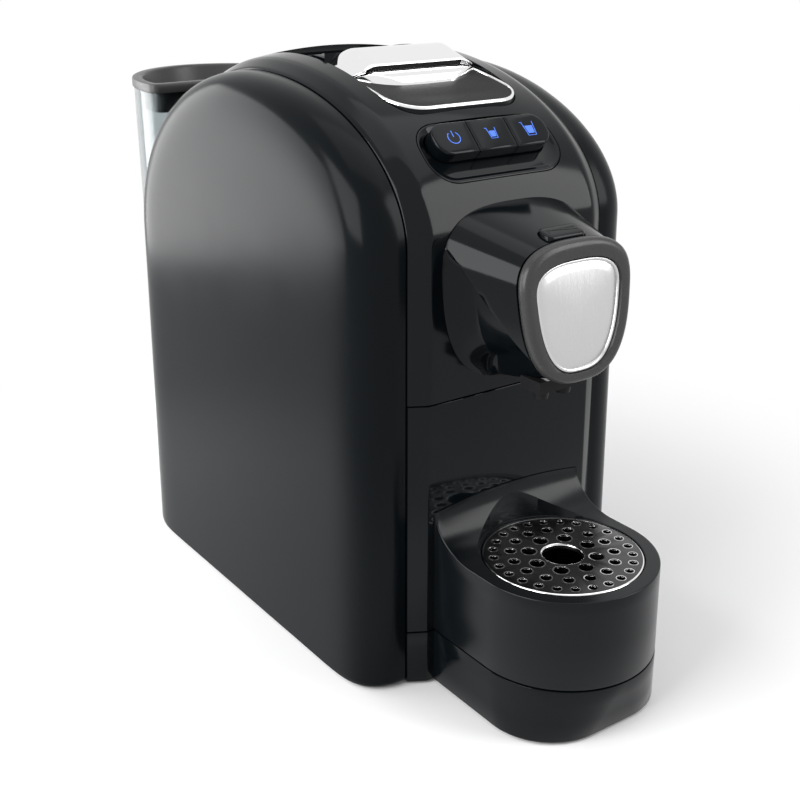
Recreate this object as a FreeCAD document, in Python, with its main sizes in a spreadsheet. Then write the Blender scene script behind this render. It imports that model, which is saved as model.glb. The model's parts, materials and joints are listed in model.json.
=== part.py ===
import FreeCAD, Part
import Sketcher
import math
import os
from types import SimpleNamespace

# A counter-top pod coffee machine: millimetres, +Z up, front towards -Y, origin under the middle of its box.

V = FreeCAD.Vector

# Driving dimensions. Distances called setback run backwards from the axis of the drip disc.
dimensions = {
    # Housing
    "total_depth": 380, "body_width": 146, "top_height": 261, "crown": 4,
    "front_setback": 36, "rear_setback": 262, "crest_setback": 150,
    "front_spring_drop": 66, "rear_spring_drop": 93, "wall": 2.6,
    "cover_width": 88, "bevel_width": 7.5, "bevel_drop": 4.3,
    "seam_drop": 130, "base_height": 26, "seam_gap": 0.6, "fit_gap": 0.4,
    # Side panels
    "panel_gap": 0.7, "panel_clear": 1.2, "panel_lip": 2.8, "panel_bulge": 2.3, "edge_inset": 22,
    "bulge_inset": 52, "boss_radius": 4, "screw_radius": 1.4, "screw_head": 3.2, "head_height": 2,
    "chassis_wall": 2.5, "screw_front": 34, "screw_rear": 37, "screw_low": 34, "screw_high": 49,
    # Drip column and drawer
    "column_radius": 40.5, "foot_draw": 6.5, "foot_corner": 24, "disc_radius": 34, "disc_height": 66,
    "disc_thickness": 2.2, "disc_chamfer": 0.8, "bowl_radius": 31, "bowl_floor": 3, "cove_radius": 18,
    "cove_setback": 15.5, "pour_hole": 8.7, "ring_one": 14.2, "ring_two": 22, "ring_three": 29.4,
    "hole_one": 3.05, "hole_two": 2.25, "hole_three": 1.7,
    "bin_width": 90, "bin_depth": 109, "bin_clear": 13.4, "bin_wall": 2, "bin_corner": 6,
    "rail_width": 4, "rail_spacing": 62,
    # Base, feet and tank shelf
    "foot_radius": 7, "foot_taper": 0.8, "foot_spread": 76, "foot_front": 58, "foot_rear": 240,
    "column_foot_setback": 22, "shelf_width": 96, "shelf_length": 68, "shelf_top": 14, "shelf_plate": 1.8,
    # Nose
    "nose_mid_rise": 49, "root_half": 38, "root_top_drop": 50, "root_bottom_rise": 6, "cap_half": 29,
    "cap_top_drop": 56.5, "cap_bottom_rise": 12.5, "nose_tail": 30, "cap_setback": 1.2, "bezel_depth": 7,
    "bezel_draft": 3, "plate_half": 22.5,
    "plate_top_drop": 65.5, "plate_bottom_rise": 17, "plate_thickness": 2.2, "plate_sink": 1.2,
    "nose_lean": 0.07,
    "nose_wall": 2.4, "way_side": 12, "way_low": 5, "way_top": 22, "catch_width": 18,
    "catch_length": 8.5, "catch_height": 6, "catch_setback": 3.2,
    "catch_stand": 1.6, "spout_setback": 10.6, "spout_width": 24, "spout_length": 12, "spout_block": 5.2,
    "nozzle_radius": 3.6, "nozzle_spread": 12, "nozzle_length": 4, "nozzle_bore": 2.2, "spout_rise": 3.6,
    "channel_width": 16, "channel_height": 5.4, "channel_wall": 1.5, "channel_rear": 92,
    # Brew group
    "brew_rise": 43.5, "deck_rise": 1.5, "deck_plate": 3, "deck_rear": 205, "cheek_inner": 71,
    "cheek_plate": 2.5, "cheek_front": 60, "cheek_drop": 33, "ledge_rise": 27.5, "ledge_thickness": 3,
    "drop_width": 54, "cup_radius": 26, "cup_bore": 21, "cup_front": 86, "cup_length": 30, "cup_floor": 5,
    "bar_inner": 60, "bar_plate": 3.4, "bar_depth": 17, "yoke_length": 12,
    "gasket_bore": 20, "gasket_rim": 24.5, "gasket_thickness": 1.5, "head_gap": 0.6, "head_radius": 25,
    "head_length": 20, "needle_radius": 1.5, "needle_length": 5, "needle_ring": 12,
    "block_width": 52, "block_length": 58, "block_rise": 14.5, "block_height": 56, "block_leg": 10,
    "thermostat_radius": 7, "thermostat_height": 7, "thermostat_spacing": 24,
    "chute_width": 49, "chute_front": 90, "chute_rear": 118, "chute_wall": 1.8, "chute_gap": 2,
    "chute_drop": 17, "mouth_depth": 10,
    # Lever
    "lever_width": 68, "lever_front": 70, "lever_corner": 15, "pivot_setback": 170, "pivot_drop": 7,
    "barrel_radius": 5, "lever_tip_drop": 14.2, "lever_mid_drop": 3.8, "lever_mid_setback": 118,
    "lever_depth": 4.4,
    "lever_floor": 2, "rim_width": 2.2, "well_gap": 0.6, "well_wall": 2.4, "pad_thickness": 1.2,
    "grip_front": 108, "grip_rear": 130, "grip_rise": 7, "grip_lip_drop": 1.5, "grip_corner": 9,
    "arm_inner": 52, "arm_plate": 3, "arm_half": 4.5, "crank": 22, "crank_angle": 40,
    "drive_pin_radius": 2.5,
    "slot_play": 0.7, "slot_depth": 18, "hinge_pin_radius": 2.5, "pin_clear": 0.08,
    # Buttons
    "button_setback": 52.6, "button_drop": 29.2, "button_tilt": 45, "bezel_width": 66, "bezel_height": 27,
    "bezel_corner": 9, "bezel_plate": 2, "bezel_well": 6, "button_width": 19.6, "button_tall": 14.5,
    "button_rise": 2.4, "button_gap": 0.4, "button_round": 1.2, "button_stem": 3, "button_travel": 1.5,
    "board_width": 66, "board_tall": 16, "board_plate": 1.6, "switch_size": 6, "switch_rise": 2,
    # Water tank
    "tank_half": 53.4, "tank_bow": 66.6, "tank_wall": 2.2, "tank_front": 265, "tank_axis": 272,
    "tank_taper": 3.5, "tank_drop": 28, "tank_clear": 0.3, "lid_height": 5, "lid_overhang": 0.9,
    "lid_skirt": 11, "lid_inset": 5, "lid_wall": 1.8, "valve_setback": 288, "valve_radius": 5,
    "valve_flange": 9,
    "valve_head": 3, "coupling_radius": 8, "coupling_floor": 2, "coupling_low": 5, "valve_play": 0.5,
    # Water circuit and electrics
    "hose_radius": 3, "hose_bend": 9, "hose_height": 9, "meter_radius": 13, "meter_height": 18,
    "meter_setback": 243, "meter_offset": -25, "pump_radius": 20, "pump_front": 162, "pump_length": 72,
    "pump_height": 50, "pump_offset": 20, "pump_coil": 34, "pump_neck": 7, "mount_width": 22,
    "mount_length": 8,
    "mount_rise": 4, "riser_setback": 154, "circuit_front": 166, "circuit_length": 72, "circuit_drop": 90.5,
    "circuit_tall": 70, "circuit_plate": 1.6, "standoff": 2.4, "gland_radius": 4.5, "gland_flange": 6.5,
    "gland_length": 6, "gland_height": 8,
}

doc = FreeCAD.newDocument("PodCoffeeMachine")
sheet = doc.addObject("Spreadsheet::Sheet", "Sheet")
for row, (alias, number) in enumerate(dimensions.items(), 1):
    sheet.set(f"A{row}", alias.replace("_", " "))
    sheet.set(f"B{row}", str(number))
    sheet.setAlias(f"B{row}", alias)
doc.recompute()


class Size:
    """A number together with the sheet expression that gives it."""

    def __init__(self, value, text):
        self.value = float(value)
        self.text = text

    def join(self, sign, other, value):
        return Size(value, f"({self.text} {sign} {as_size(other).text})")

    def __float__(self):
        return self.value

    def __add__(self, other):
        return self.join("+", other, self.value + float(other))

    def __sub__(self, other):
        return self.join("-", other, self.value - float(other))

    def __mul__(self, other):
        return self.join("*", other, self.value * float(other))

    def __truediv__(self, other):
        return self.join("/", other, self.value / float(other))

    def __radd__(self, other):
        return as_size(other) + self

    def __rsub__(self, other):
        return as_size(other) - self

    def __rmul__(self, other):
        return as_size(other) * self

    def __neg__(self):
        return Size(-self.value, f"(0 - {self.text})")


def as_size(number):
    return number if isinstance(number, Size) else Size(number, f"({float(number):.6f})")


d = SimpleNamespace(**{alias: Size(sheet.get(alias), f"Sheet.{alias}") for alias in dimensions})

# Shared places
disc_y = d.column_radius - d.total_depth / 2
OVERCUT = 1.0

# Heights that follow the top of the arch
d.seam_height = d.top_height - d.seam_drop
d.front_spring = d.top_height - d.front_spring_drop
d.rear_spring = d.top_height - d.rear_spring_drop
d.root_top = d.top_height - d.root_top_drop
d.cap_top = d.top_height - d.cap_top_drop
d.plate_top = d.top_height - d.plate_top_drop
d.cheek_top = d.top_height - d.cheek_drop
d.chute_top = d.top_height - d.chute_drop
d.pivot_height = d.top_height - d.pivot_drop
d.lever_tip = d.top_height - d.lever_tip_drop
d.lever_mid = d.top_height - d.lever_mid_drop
d.grip_top = d.top_height + d.grip_rise
d.grip_lip = d.top_height - d.grip_lip_drop
d.button_height = d.top_height - d.button_drop
d.tank_top = d.top_height - d.tank_drop
d.lid_top = d.tank_top + d.lid_height
# Heights that follow the seam and the brew deck above it
d.nose_mid = d.seam_height + d.nose_mid_rise
d.root_bottom = d.seam_height + d.root_bottom_rise
d.cap_bottom = d.seam_height + d.cap_bottom_rise
d.plate_bottom = d.seam_height + d.plate_bottom_rise
d.spout_low = d.seam_height + d.spout_rise
d.deck_height = d.seam_height + d.deck_rise
d.brew_height = d.deck_height + d.brew_rise
d.ledge_height = d.deck_height + d.ledge_rise
d.block_low = d.deck_height + d.deck_plate + d.block_rise
d.block_top = d.block_low + d.block_height
d.chute_low = d.brew_height + d.cup_radius + d.chute_gap
d.circuit_low = d.deck_height - d.circuit_drop


def back(setback):
    """Y of a setback measured from the disc axis."""
    return disc_y + setback


def both(half):
    """A span from -half to half."""
    return (-half, half)


def span(start, length):
    return (start, start + length)


front_y = back(d.front_setback)
rear_y = back(d.rear_setback)
crest_y = back(d.crest_setback)
cover_half = d.cover_width / 2
shell_half = cover_half + d.bevel_width
panel_inner = shell_half + d.panel_gap
base_floor = d.panel_clear + d.wall
base_top = d.base_height - d.seam_gap / 2
drawer_low = d.base_height + d.seam_gap / 2
drawer_top = d.seam_height - d.seam_gap / 2
cover_low = d.seam_height + d.seam_gap / 2
chassis_outer = shell_half - d.fit_gap
chassis_inner = chassis_outer - d.chassis_wall
deck_top = d.deck_height + d.deck_plate
head_front = back(d.cup_front) + d.cup_length + d.gasket_thickness + d.head_gap
block_front = head_front + d.head_length
pivot_y = back(d.pivot_setback)
arm_outer = d.arm_inner / 2 + d.arm_plate
bin_height = drawer_top - drawer_low - d.bin_clear
edge_reach = d.body_width / 2 - panel_inner - d.panel_lip - d.panel_bulge

nodes = {}


def node(name, part):
    """Keep a finished piece under its own name."""
    part.Label = name
    nodes[name] = part
    return part


# Building helpers
def bind(part, prop, size):
    part.setExpression(prop, as_size(size).text)


def place(part, x, y, z):
    for axis, size in zip("xyz", (x, y, z)):
        bind(part, f"Placement.Base.{axis}", size)
    return part


def box(name, x, y, z):
    """A block between two corners, each side given as (low, high)."""
    part = doc.addObject("Part::Box", name)
    for prop, (low, high) in zip(("Length", "Width", "Height"), (x, y, z)):
        bind(part, prop, high - low)
    return place(part, x[0], y[0], z[0])


TURNS = {"x": FreeCAD.Rotation(V(0, 1, 0), 90), "y": FreeCAD.Rotation(V(1, 0, 0), -90),
         "z": FreeCAD.Rotation()}


def rod(name, along, start, radius, length):
    """A round bar from start, along one axis."""
    part = doc.addObject("Part::Cylinder", name)
    bind(part, "Radius", radius)
    bind(part, "Height", length)
    part.Placement = FreeCAD.Placement(V(), TURNS[along])
    return place(part, *start)


def cone(name, along, start, radius, far_radius, length):
    part = doc.addObject("Part::Cone", name)
    bind(part, "Radius1", radius)
    bind(part, "Radius2", far_radius)
    bind(part, "Height", length)
    part.Placement = FreeCAD.Placement(V(), TURNS[along])
    return place(part, *start)


def fuse(name, *parts):
    part = doc.addObject("Part::MultiFuse", name)
    part.Shapes = list(parts)
    part.Refine = True
    return part


def cut(name, base, *tools):
    part = doc.addObject("Part::Cut", name)
    part.Base = base
    part.Tool = tools[0] if len(tools) == 1 else fuse(name + "_tools", *tools)
    return part


def common(name, *parts):
    part = doc.addObject("Part::MultiCommon", name)
    part.Shapes = list(parts)
    return part


def group(name, *parts):
    part = doc.addObject("Part::Compound", name)
    part.Links = list(parts)
    return part


def feature(name, shape):
    part = doc.addObject("Part::Feature", name)
    part.Shape = shape
    return part


def mirrored(name, source):
    part = doc.addObject("Part::Mirroring", name)
    part.Source = source
    part.Normal = V(1, 0, 0)
    return part


def rounded(name, base, radius, chosen):
    """A fillet on the edges of base that chosen accepts."""
    doc.recompute()
    part = doc.addObject("Part::Fillet", name)
    part.Base = base
    size = float(radius)
    part.Edges = [(at, size, size) for at, edge in enumerate(base.Shape.Edges, 1) if chosen(edge)]
    return part


def upright(edge):
    """True for a straight vertical edge."""
    first, last = edge.Vertexes[0].Point, edge.Vertexes[-1].Point
    return abs(first.z - last.z) > 0.99 * edge.Length


# Sketch helpers
def body(name):
    return doc.addObject("PartDesign::Body", name)


def sketch(owner, height=0):
    """A sketch on the body's own XY plane, raised by height."""
    drawing = owner.newObject("Sketcher::SketchObject", owner.Name + "Sketch")
    plane = next(item for item in owner.Origin.OriginFeatures if item.Role == "XY_Plane")
    drawing.AttachmentSupport = [(plane, "")]
    drawing.MapMode = "FlatFace"
    bind(drawing, "AttachmentOffset.Base.z", height)
    return drawing


def pin_point(drawing, geometry, point, x, y):
    """Lock one sketch point at x, y with sizes from the sheet."""
    for kind, size in (("DistanceX", x), ("DistanceY", y)):
        index = drawing.addConstraint(Sketcher.Constraint(kind, -1, 1, geometry, point, float(size)))
        drawing.setExpression(f"Constraints[{index}]", as_size(size).text)


def polygon(drawing, points):
    spots = [V(float(x), float(y), 0) for x, y in points]
    count = len(spots)
    first = drawing.GeometryCount
    for at in range(count):
        drawing.addGeometry(Part.LineSegment(spots[at], spots[(at + 1) % count]))
    for at in range(count):
        following = first + (at + 1) % count
        drawing.addConstraint(Sketcher.Constraint("Coincident", first + at, 2, following, 1))
    for at, (x, y) in enumerate(points):
        pin_point(drawing, first + at, 1, x, y)


def rectangle(drawing, x, y):
    polygon(drawing, [(x[0], y[0]), (x[1], y[0]), (x[1], y[1]), (x[0], y[1])])


def circle(drawing, x, y, radius):
    index = drawing.addGeometry(Part.Circle(V(float(x), float(y), 0), V(0, 0, 1), float(radius)))
    pin_point(drawing, index, 3, x, y)
    limit = drawing.addConstraint(Sketcher.Constraint("Radius", index, float(radius)))
    drawing.setExpression(f"Constraints[{limit}]", as_size(radius).text)


def pad(owner, drawing, length):
    step = owner.newObject("PartDesign::Pad", owner.Name + "Pad")
    step.Profile = drawing
    bind(step, "Length", length)
    return step


def pocket(owner, drawing, length):
    """A cut from the sketch down into the body."""
    step = owner.newObject("PartDesign::Pocket", owner.Name + "Pocket")
    step.Profile = drawing
    bind(step, "Length", length)
    return step


def dress(owner, kind, base, size, chosen):
    """A PartDesign fillet or chamfer on the edges that chosen accepts."""
    doc.recompute()
    step = owner.newObject("PartDesign::" + kind, owner.Name + kind)
    step.Base = (base, [f"Edge{at}" for at, edge in enumerate(base.Shape.Edges, 1) if chosen(edge)])
    bind(step, "Radius" if kind == "Fillet" else "Size", size)
    return step


# Curve helpers
def line(first, last):
    return Part.LineSegment(first, last).toShape()


def quarter(center, start, end):
    """A quarter of an ellipse about center, between start and end."""
    wide_start = start.distanceToPoint(center) >= end.distanceToPoint(center)
    major, minor = (start, end) if wide_start else (end, start)
    return Part.ArcOfEllipse(Part.Ellipse(major, minor, center), 0, math.pi / 2).toShape()


def housing_outline(x, inset, rise, low_front, low_rear):
    """Side outline of the housing at one x: straight front, front arch, rear curve and straight back."""
    front, rear, crest = float(front_y) + inset, float(rear_y) - inset, float(crest_y)
    top = float(d.top_height) + rise - inset
    spring, rear_spring = float(d.front_spring), float(d.rear_spring)
    edges = [
        line(V(x, front, low_front), V(x, front, spring)),
        quarter(V(x, crest, spring), V(x, front, spring), V(x, crest, top)),
        quarter(V(x, crest, rear_spring), V(x, crest, top), V(x, rear, rear_spring)),
    ]
    if low_rear < rear_spring:
        edges.append(line(V(x, rear, rear_spring), V(x, rear, low_rear)))
    edges.append(line(V(x, rear, low_rear), V(x, front, low_front)))
    return Part.Wire(edges)


SHIELD_POINTS = 16
SHIELD_POWER = 0.72


def shield(half, top, bottom, y):
    """Rounded shield outline in a leaning upright plane: widest above its middle, narrower below."""
    widest, lean = float(d.nose_mid), float(d.nose_lean)
    points = []
    for at in range(SHIELD_POINTS):
        turn = 2 * math.pi * at / SHIELD_POINTS
        side, rise = math.cos(turn), math.sin(turn)
        x = float(half) * math.copysign(abs(side) ** SHIELD_POWER, side)
        reach = float(top) - widest if rise > 0 else widest - float(bottom)
        z = widest + reach * math.copysign(abs(rise) ** SHIELD_POWER, rise)
        points.append(V(x, float(y) - lean * (z - widest), z))
    curve = Part.BSplineCurve()
    curve.interpolate(Points=points, PeriodicFlag=True)
    return Part.Wire([curve.toShape()])


def tube(points, radius, bend):
    """A round hose along straight runs joined by tangent arcs."""
    edges, start = [], points[0]
    for before, corner, after in zip(points, points[1:], points[2:]):
        into, out = (corner - before).normalize(), (after - corner).normalize()
        half_turn = into.getAngle(out) / 2
        reach = bend * math.tan(half_turn)
        enter, leave = corner - into * reach, corner + out * reach
        inward = (out - into).normalize()
        middle = corner + inward * (bend / math.cos(half_turn) - bend)
        edges += [line(start, enter), Part.Arc(enter, middle, leave).toShape()]
        start = leave
    edges.append(line(start, points[-1]))
    path = Part.Wire(edges)
    heading = (points[1] - points[0]).normalize()
    section = Part.Wire([Part.Circle(points[0], heading, radius).toShape()])
    return path.makePipeShell([section], True, True)


def spot(x, y, z):
    return V(float(x), float(y), float(z))


# Side panels: one bulged shell with a rolled edge, and its mirror image
ROLL_STEP = 15
FULL_ROLL = 90


def panel_sections(offset):
    """Pairs of x and inset from the inner lip, round the rolled edge, out to the flat of the bulge."""
    lip = float(panel_inner + d.panel_lip)
    base = float(d.bevel_drop + d.panel_gap) + offset
    pairs = []
    for degrees in range(0, FULL_ROLL + 1, ROLL_STEP):
        turn = math.radians(degrees)
        x = lip + float(edge_reach) * math.sin(turn)
        pairs.append((x - offset, base + float(d.edge_inset) * (1 - math.cos(turn))))
    pairs.append((float(d.body_width) / 2 - offset, base + float(d.bulge_inset - d.bevel_drop)))
    return pairs


def panel_loft(offset, first_x, low):
    pairs = panel_sections(offset)
    pairs.insert(0, (first_x, pairs[0][1]))
    wires = [housing_outline(x, inset, 0, low, low) for x, inset in pairs]
    return Part.makeLoft(wires, True, True)


panel_low = float(d.panel_clear)
panel_shape = panel_loft(0, float(panel_inner), panel_low).cut(
    panel_loft(float(d.wall), float(panel_inner) - OVERCUT, panel_low + float(d.wall)))
screw_spots = [(y, z) for y in (front_y + d.screw_front, rear_y - d.screw_rear)
               for z in (d.base_height + d.screw_low, d.seam_height + d.screw_high)]
boss_reach = d.body_width / 2 - d.wall - panel_inner


def panel_bosses(name):
    """Screw posts inside the panel, each with its pilot hole."""
    posts = []
    for at, (y, z) in enumerate(screw_spots):
        post = rod(f"{name}_post{at}", "x", (panel_inner, y, z), d.boss_radius, boss_reach)
        hole = rod(f"{name}_pilot{at}", "x", (panel_inner, y, z), d.screw_radius, boss_reach / 2)
        posts.append(cut(f"{name}_boss{at}", post, hole))
    return posts


panel_skin = feature("panel_skin", panel_shape)
panel_room = feature("panel_room", panel_loft(float(d.wall) / 2, float(panel_inner), panel_low))
panel_posts = common("panel_posts", group("panel_boss_set", *panel_bosses("panel")), panel_room)
right_panel = node("right_side_panel", fuse("right_side_panel", panel_skin, panel_posts))
node("left_side_panel", mirrored("left_side_panel", right_panel))

# Chassis walls that carry the panels, the brew deck and the circuit board
chassis_inset = float(d.bevel_drop + d.wall + d.fit_gap * 3)
chassis_face = Part.Face(housing_outline(float(chassis_inner), chassis_inset, 0, float(base_top),
                                         float(base_top)))
chassis_plate = feature("chassis_plate", chassis_face.extrude(V(float(d.chassis_wall), 0, 0)))
chassis_holes = [
    rod(f"chassis_hole{at}", "x", (chassis_inner - OVERCUT, y, z), d.screw_radius + d.fit_gap,
        d.chassis_wall + 2 * OVERCUT)
    for at, (y, z) in enumerate(screw_spots)]
right_chassis = node("right_chassis_wall", cut("right_chassis_wall", chassis_plate, *chassis_holes))
node("left_chassis_wall", mirrored("left_chassis_wall", right_chassis))


def panel_screw(name, y, z):
    head = rod(name + "_head", "x", (chassis_inner - d.head_height, y, z), d.screw_head, d.head_height)
    shank = rod(name + "_shank", "x", (chassis_inner, y, z), d.screw_radius,
                panel_inner - chassis_inner + boss_reach / 2)
    return fuse(name, head, shank)


right_screws = [panel_screw(f"panel_screw{at}", y, z) for at, (y, z) in enumerate(screw_spots)]
left_screws = [mirrored(f"panel_screw_left{at}", screw) for at, screw in enumerate(right_screws)]
node("panel_screws", group("panel_screws", *right_screws, *left_screws))

# Top cover: an arched band with a bevel along each side
COVER_STEPS = 4


def cover_loft(offset, reach, low_front, low_rear):
    """The cover's outer solid, shrunk by offset and with its sides at reach."""
    half, total_rise = float(cover_half), float(d.crown)
    wires = [housing_outline(-reach, float(d.bevel_drop) + offset, 0, low_front, low_rear)]
    for at in range(-COVER_STEPS, COVER_STEPS + 1):
        share = at / COVER_STEPS
        wires.append(housing_outline(half * share, offset, total_rise * (1 - share ** 2), low_front,
                                     low_rear))
    wires.append(housing_outline(reach, float(d.bevel_drop) + offset, 0, low_front, low_rear))
    return Part.makeLoft(wires, True, True)


rear_joint = float(d.rear_spring)
cover_outer = cover_loft(0, float(shell_half), float(cover_low), rear_joint)
cover_inner = cover_loft(float(d.wall), float(shell_half) + OVERCUT, float(cover_low) - OVERCUT * 5,
                         rear_joint - OVERCUT * 5)


# Lever outlines in side view: an arc along the rim and offsets of it below
lever_round = Part.Arc(V(0, float(back(d.lever_front)), float(d.lever_tip)),
                       V(0, float(back(d.lever_mid_setback)), float(d.lever_mid)),
                       V(0, float(pivot_y), float(d.pivot_height + d.barrel_radius))).toShape().Curve


def lever_height(y):
    """Height of the lever's rim at y, on the arc through its tip, middle and barrel."""
    offset = y - lever_round.Center.y
    return lever_round.Center.z + math.sqrt(lever_round.Radius ** 2 - offset ** 2)


def lever_arc(drop):
    """The rim's arc, lowered by drop and run on past the tip and the barrel."""
    first, last = float(back(d.lever_front)) - 5 * OVERCUT, float(pivot_y) + OVERCUT
    return Part.Arc(*[V(0, y, lever_height(y) - drop) for y in (first, (first + last) / 2, last)])


def lever_band(top_drop, low_drop, half):
    """The band between two drops below the rim arc, over the width of the lever."""
    upper, lower = lever_arc(top_drop), lever_arc(low_drop)
    wire = Part.Wire([upper.toShape(), line(upper.EndPoint, lower.EndPoint), lower.toShape(),
                      line(lower.StartPoint, upper.StartPoint)])
    face = Part.Face(wire)
    face.translate(V(-half, 0, 0))
    return face.extrude(V(2 * half, 0, 0))


def lever_plan(inset, rear):
    """Upright block with the lever's rounded front corners, to cut bands to its outline."""
    half = float(d.lever_width) / 2 - inset
    corner = max(float(d.lever_corner) - inset, 1)
    front = float(back(d.lever_front)) + inset
    bend = corner * (1 - math.sqrt(0.5))
    low, high = float(d.deck_height), float(d.grip_top) + OVERCUT * 20
    right = Part.Arc(V(half - corner, front, low), V(half - bend, front + bend, low),
                     V(half, front + corner, low))
    left = Part.Arc(V(-half, front + corner, low), V(-half + bend, front + bend, low),
                    V(-half + corner, front, low))
    wire = Part.Wire([right.toShape(), line(right.EndPoint, V(half, rear, low)),
                      line(V(half, rear, low), V(-half, rear, low)),
                      line(V(-half, rear, low), left.StartPoint),
                      left.toShape(), line(left.EndPoint, right.StartPoint)])
    return Part.Face(wire).extrude(V(0, 0, high - low))


def bar_along_x(radius, half, y, z):
    return Part.makeCylinder(radius, 2 * half, V(-half, y, z), V(1, 0, 0))


lever_half = float(d.lever_width) / 2
lever_depth = float(d.lever_depth)
pivot = (float(pivot_y), float(d.pivot_height))
well_gap, well_wall = float(d.well_gap), float(d.well_wall)
barrel = float(d.barrel_radius)
OPEN_SKY = 60.0

well_bottom = lever_depth + well_gap
tub_half = lever_half + well_gap + well_wall
tub_rear = pivot[0] + barrel + well_gap + well_wall
tub = lever_band(-OPEN_SKY, well_bottom + well_wall, tub_half)
tub = tub.common(lever_plan(-well_gap - well_wall, tub_rear))
tub = tub.fuse(bar_along_x(barrel + well_gap + well_wall, tub_half, *pivot)).common(cover_outer)
well = lever_band(-OPEN_SKY, well_bottom, lever_half + well_gap).common(lever_plan(-well_gap, pivot[0]))
well = well.fuse(bar_along_x(barrel + well_gap, lever_half + well_gap, *pivot))
well_sky = Part.makeBox(2 * (lever_half + well_gap), 2 * (barrel + well_gap), OPEN_SKY,
                        V(-lever_half - well_gap, pivot[0] - barrel - well_gap, pivot[1]))
cover_shell = feature("cover_shell", cover_outer.cut(cover_inner).fuse(tub).cut(well.fuse(well_sky)))

chute_x = both(d.chute_width / 2)
chute_y = (back(d.chute_front), back(d.chute_rear))
capsule_mouth = box("capsule_mouth", chute_x, chute_y, (d.chute_top - d.mouth_depth, d.top_height))
crank_turn = math.radians(float(d.crank_angle))
arm_sweep = d.barrel_radius + d.well_gap + d.well_wall + d.arm_half
arm_slots = []
for side in (-1, 1):
    inner = side * (d.arm_inner / 2 - d.fit_gap)
    outer = side * (arm_outer + d.fit_gap)
    sides = (inner, outer) if side > 0 else (outer, inner)
    arm_slots.append(box(f"arm_slot{side + 1}", sides, (pivot_y - arm_sweep, pivot_y + arm_sweep),
                         (d.pivot_height - d.slot_depth, d.pivot_height + d.fit_gap)))
nose_way = box("nose_way", both(d.channel_width / 2 + d.way_side),
               (front_y - OVERCUT, front_y + d.wall + OVERCUT),
               (d.root_bottom + d.way_low, d.root_top - d.way_top))
pin_way = rod("pin_way", "x", (-tub_half, pivot_y, d.pivot_height), d.hinge_pin_radius, 2 * tub_half)

# Button group: pieces are drawn flat and set on the slope of the arch
button_seat = FreeCAD.Placement(spot(0, back(d.button_setback), d.button_height),
                                FreeCAD.Rotation(V(1, 0, 0), float(d.button_tilt)))
button_pitch = d.button_width + d.button_gap
pack_half = button_pitch * 1.5
window_half = d.button_tall / 2 + d.button_gap
window_y = d.bezel_height / 2 - d.bezel_plate - window_half


def slope_body(name):
    piece = body(name)
    piece.Placement = button_seat
    return piece


bezel_cutter = slope_body("bezel_cutter")
drawing = sketch(bezel_cutter, -d.bezel_well - OVERCUT * 6)
rectangle(drawing, both(d.bezel_width / 2 + 0.1), both(d.bezel_height / 2 + 0.1))
dress(bezel_cutter, "Fillet", pad(bezel_cutter, drawing, d.bezel_well + OVERCUT * 26), d.bezel_corner,
      upright)

cover_cuts = (capsule_mouth, *arm_slots, nose_way, pin_way, bezel_cutter)
node("top_cover", cut("top_cover", cover_shell, *cover_cuts))


bezel = slope_body("button_bezel")
drawing = sketch(bezel, -d.bezel_well)
rectangle(drawing, both(d.bezel_width / 2), both(d.bezel_height / 2))
dress(bezel, "Fillet", pad(bezel, drawing, d.bezel_well), d.bezel_corner, upright)
drawing = sketch(bezel)
rectangle(drawing, both(d.bezel_width / 2 - d.bezel_plate * 2), both(d.bezel_height / 2 - d.bezel_plate * 2))
pocket(bezel, drawing, d.bezel_well - d.bezel_plate)
drawing = sketch(bezel)
rectangle(drawing, both(pack_half + d.button_gap / 2), (window_y - window_half, window_y + window_half))
pocket(bezel, drawing, d.bezel_well + OVERCUT)
node("button_bezel", bezel)

button_low = -d.bezel_well - d.button_stem
for name, at in (("power_button", -1), ("small_cup_button", 0), ("large_cup_button", 1)):
    button = slope_body(name)
    middle = button_pitch * at
    drawing = sketch(button, -d.bezel_well)
    rectangle(drawing, (middle - d.button_width / 2, middle + d.button_width / 2),
              (window_y - d.button_tall / 2, window_y + d.button_tall / 2))
    block = pad(button, drawing, d.bezel_well + d.button_rise)
    button_top = float(d.button_rise)
    block = dress(button, "Fillet", block, d.button_round,
                  lambda edge: all(abs(vertex.Point.z - button_top) < 0.01 for vertex in edge.Vertexes))
    drawing = sketch(button, button_low)
    circle(drawing, middle, window_y, d.button_stem)
    pad(button, drawing, d.button_stem)
    node(name, button)

board_top = button_low - d.button_travel - d.fit_gap - d.switch_rise
board = slope_body("button_board")
drawing = sketch(board, board_top - d.board_plate)
rectangle(drawing, both(d.board_width / 2), (window_y - d.board_tall / 2, window_y + d.board_tall / 2))
pad(board, drawing, d.board_plate)
drawing = sketch(board, board_top)
for at in (-1, 0, 1):
    middle = button_pitch * at
    rectangle(drawing, (middle - d.switch_size / 2, middle + d.switch_size / 2),
              (window_y - d.switch_size / 2, window_y + d.switch_size / 2))
pad(board, drawing, d.switch_rise)
drawing = sketch(board, board_top)
for side in (-1, 1):
    post_x = side * (d.bezel_width / 2 + pack_half + d.button_gap / 2) / 2
    for edge in (-1, 1):
        circle(drawing, post_x, window_y + edge * d.board_tall / 4, d.button_stem * 0.4)
pad(board, drawing, -d.bezel_well - board_top)
node("button_board", board)

# Lever: carrier plate with barrel and arms, chrome rim and grip, two inlays
floor_drop = lever_depth - float(d.lever_floor)
lever_outline = lever_plan(0, pivot[0])
carrier = lever_band(floor_drop, lever_depth, lever_half + OVERCUT).common(lever_outline)
carrier = carrier.fuse(bar_along_x(barrel, lever_half, *pivot)).removeSplitter()
pin_bore = bar_along_x(float(d.hinge_pin_radius + d.pin_clear), lever_half + OVERCUT, *pivot)
node("lever_plate", feature("lever_plate", carrier.cut(pin_bore)))

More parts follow.
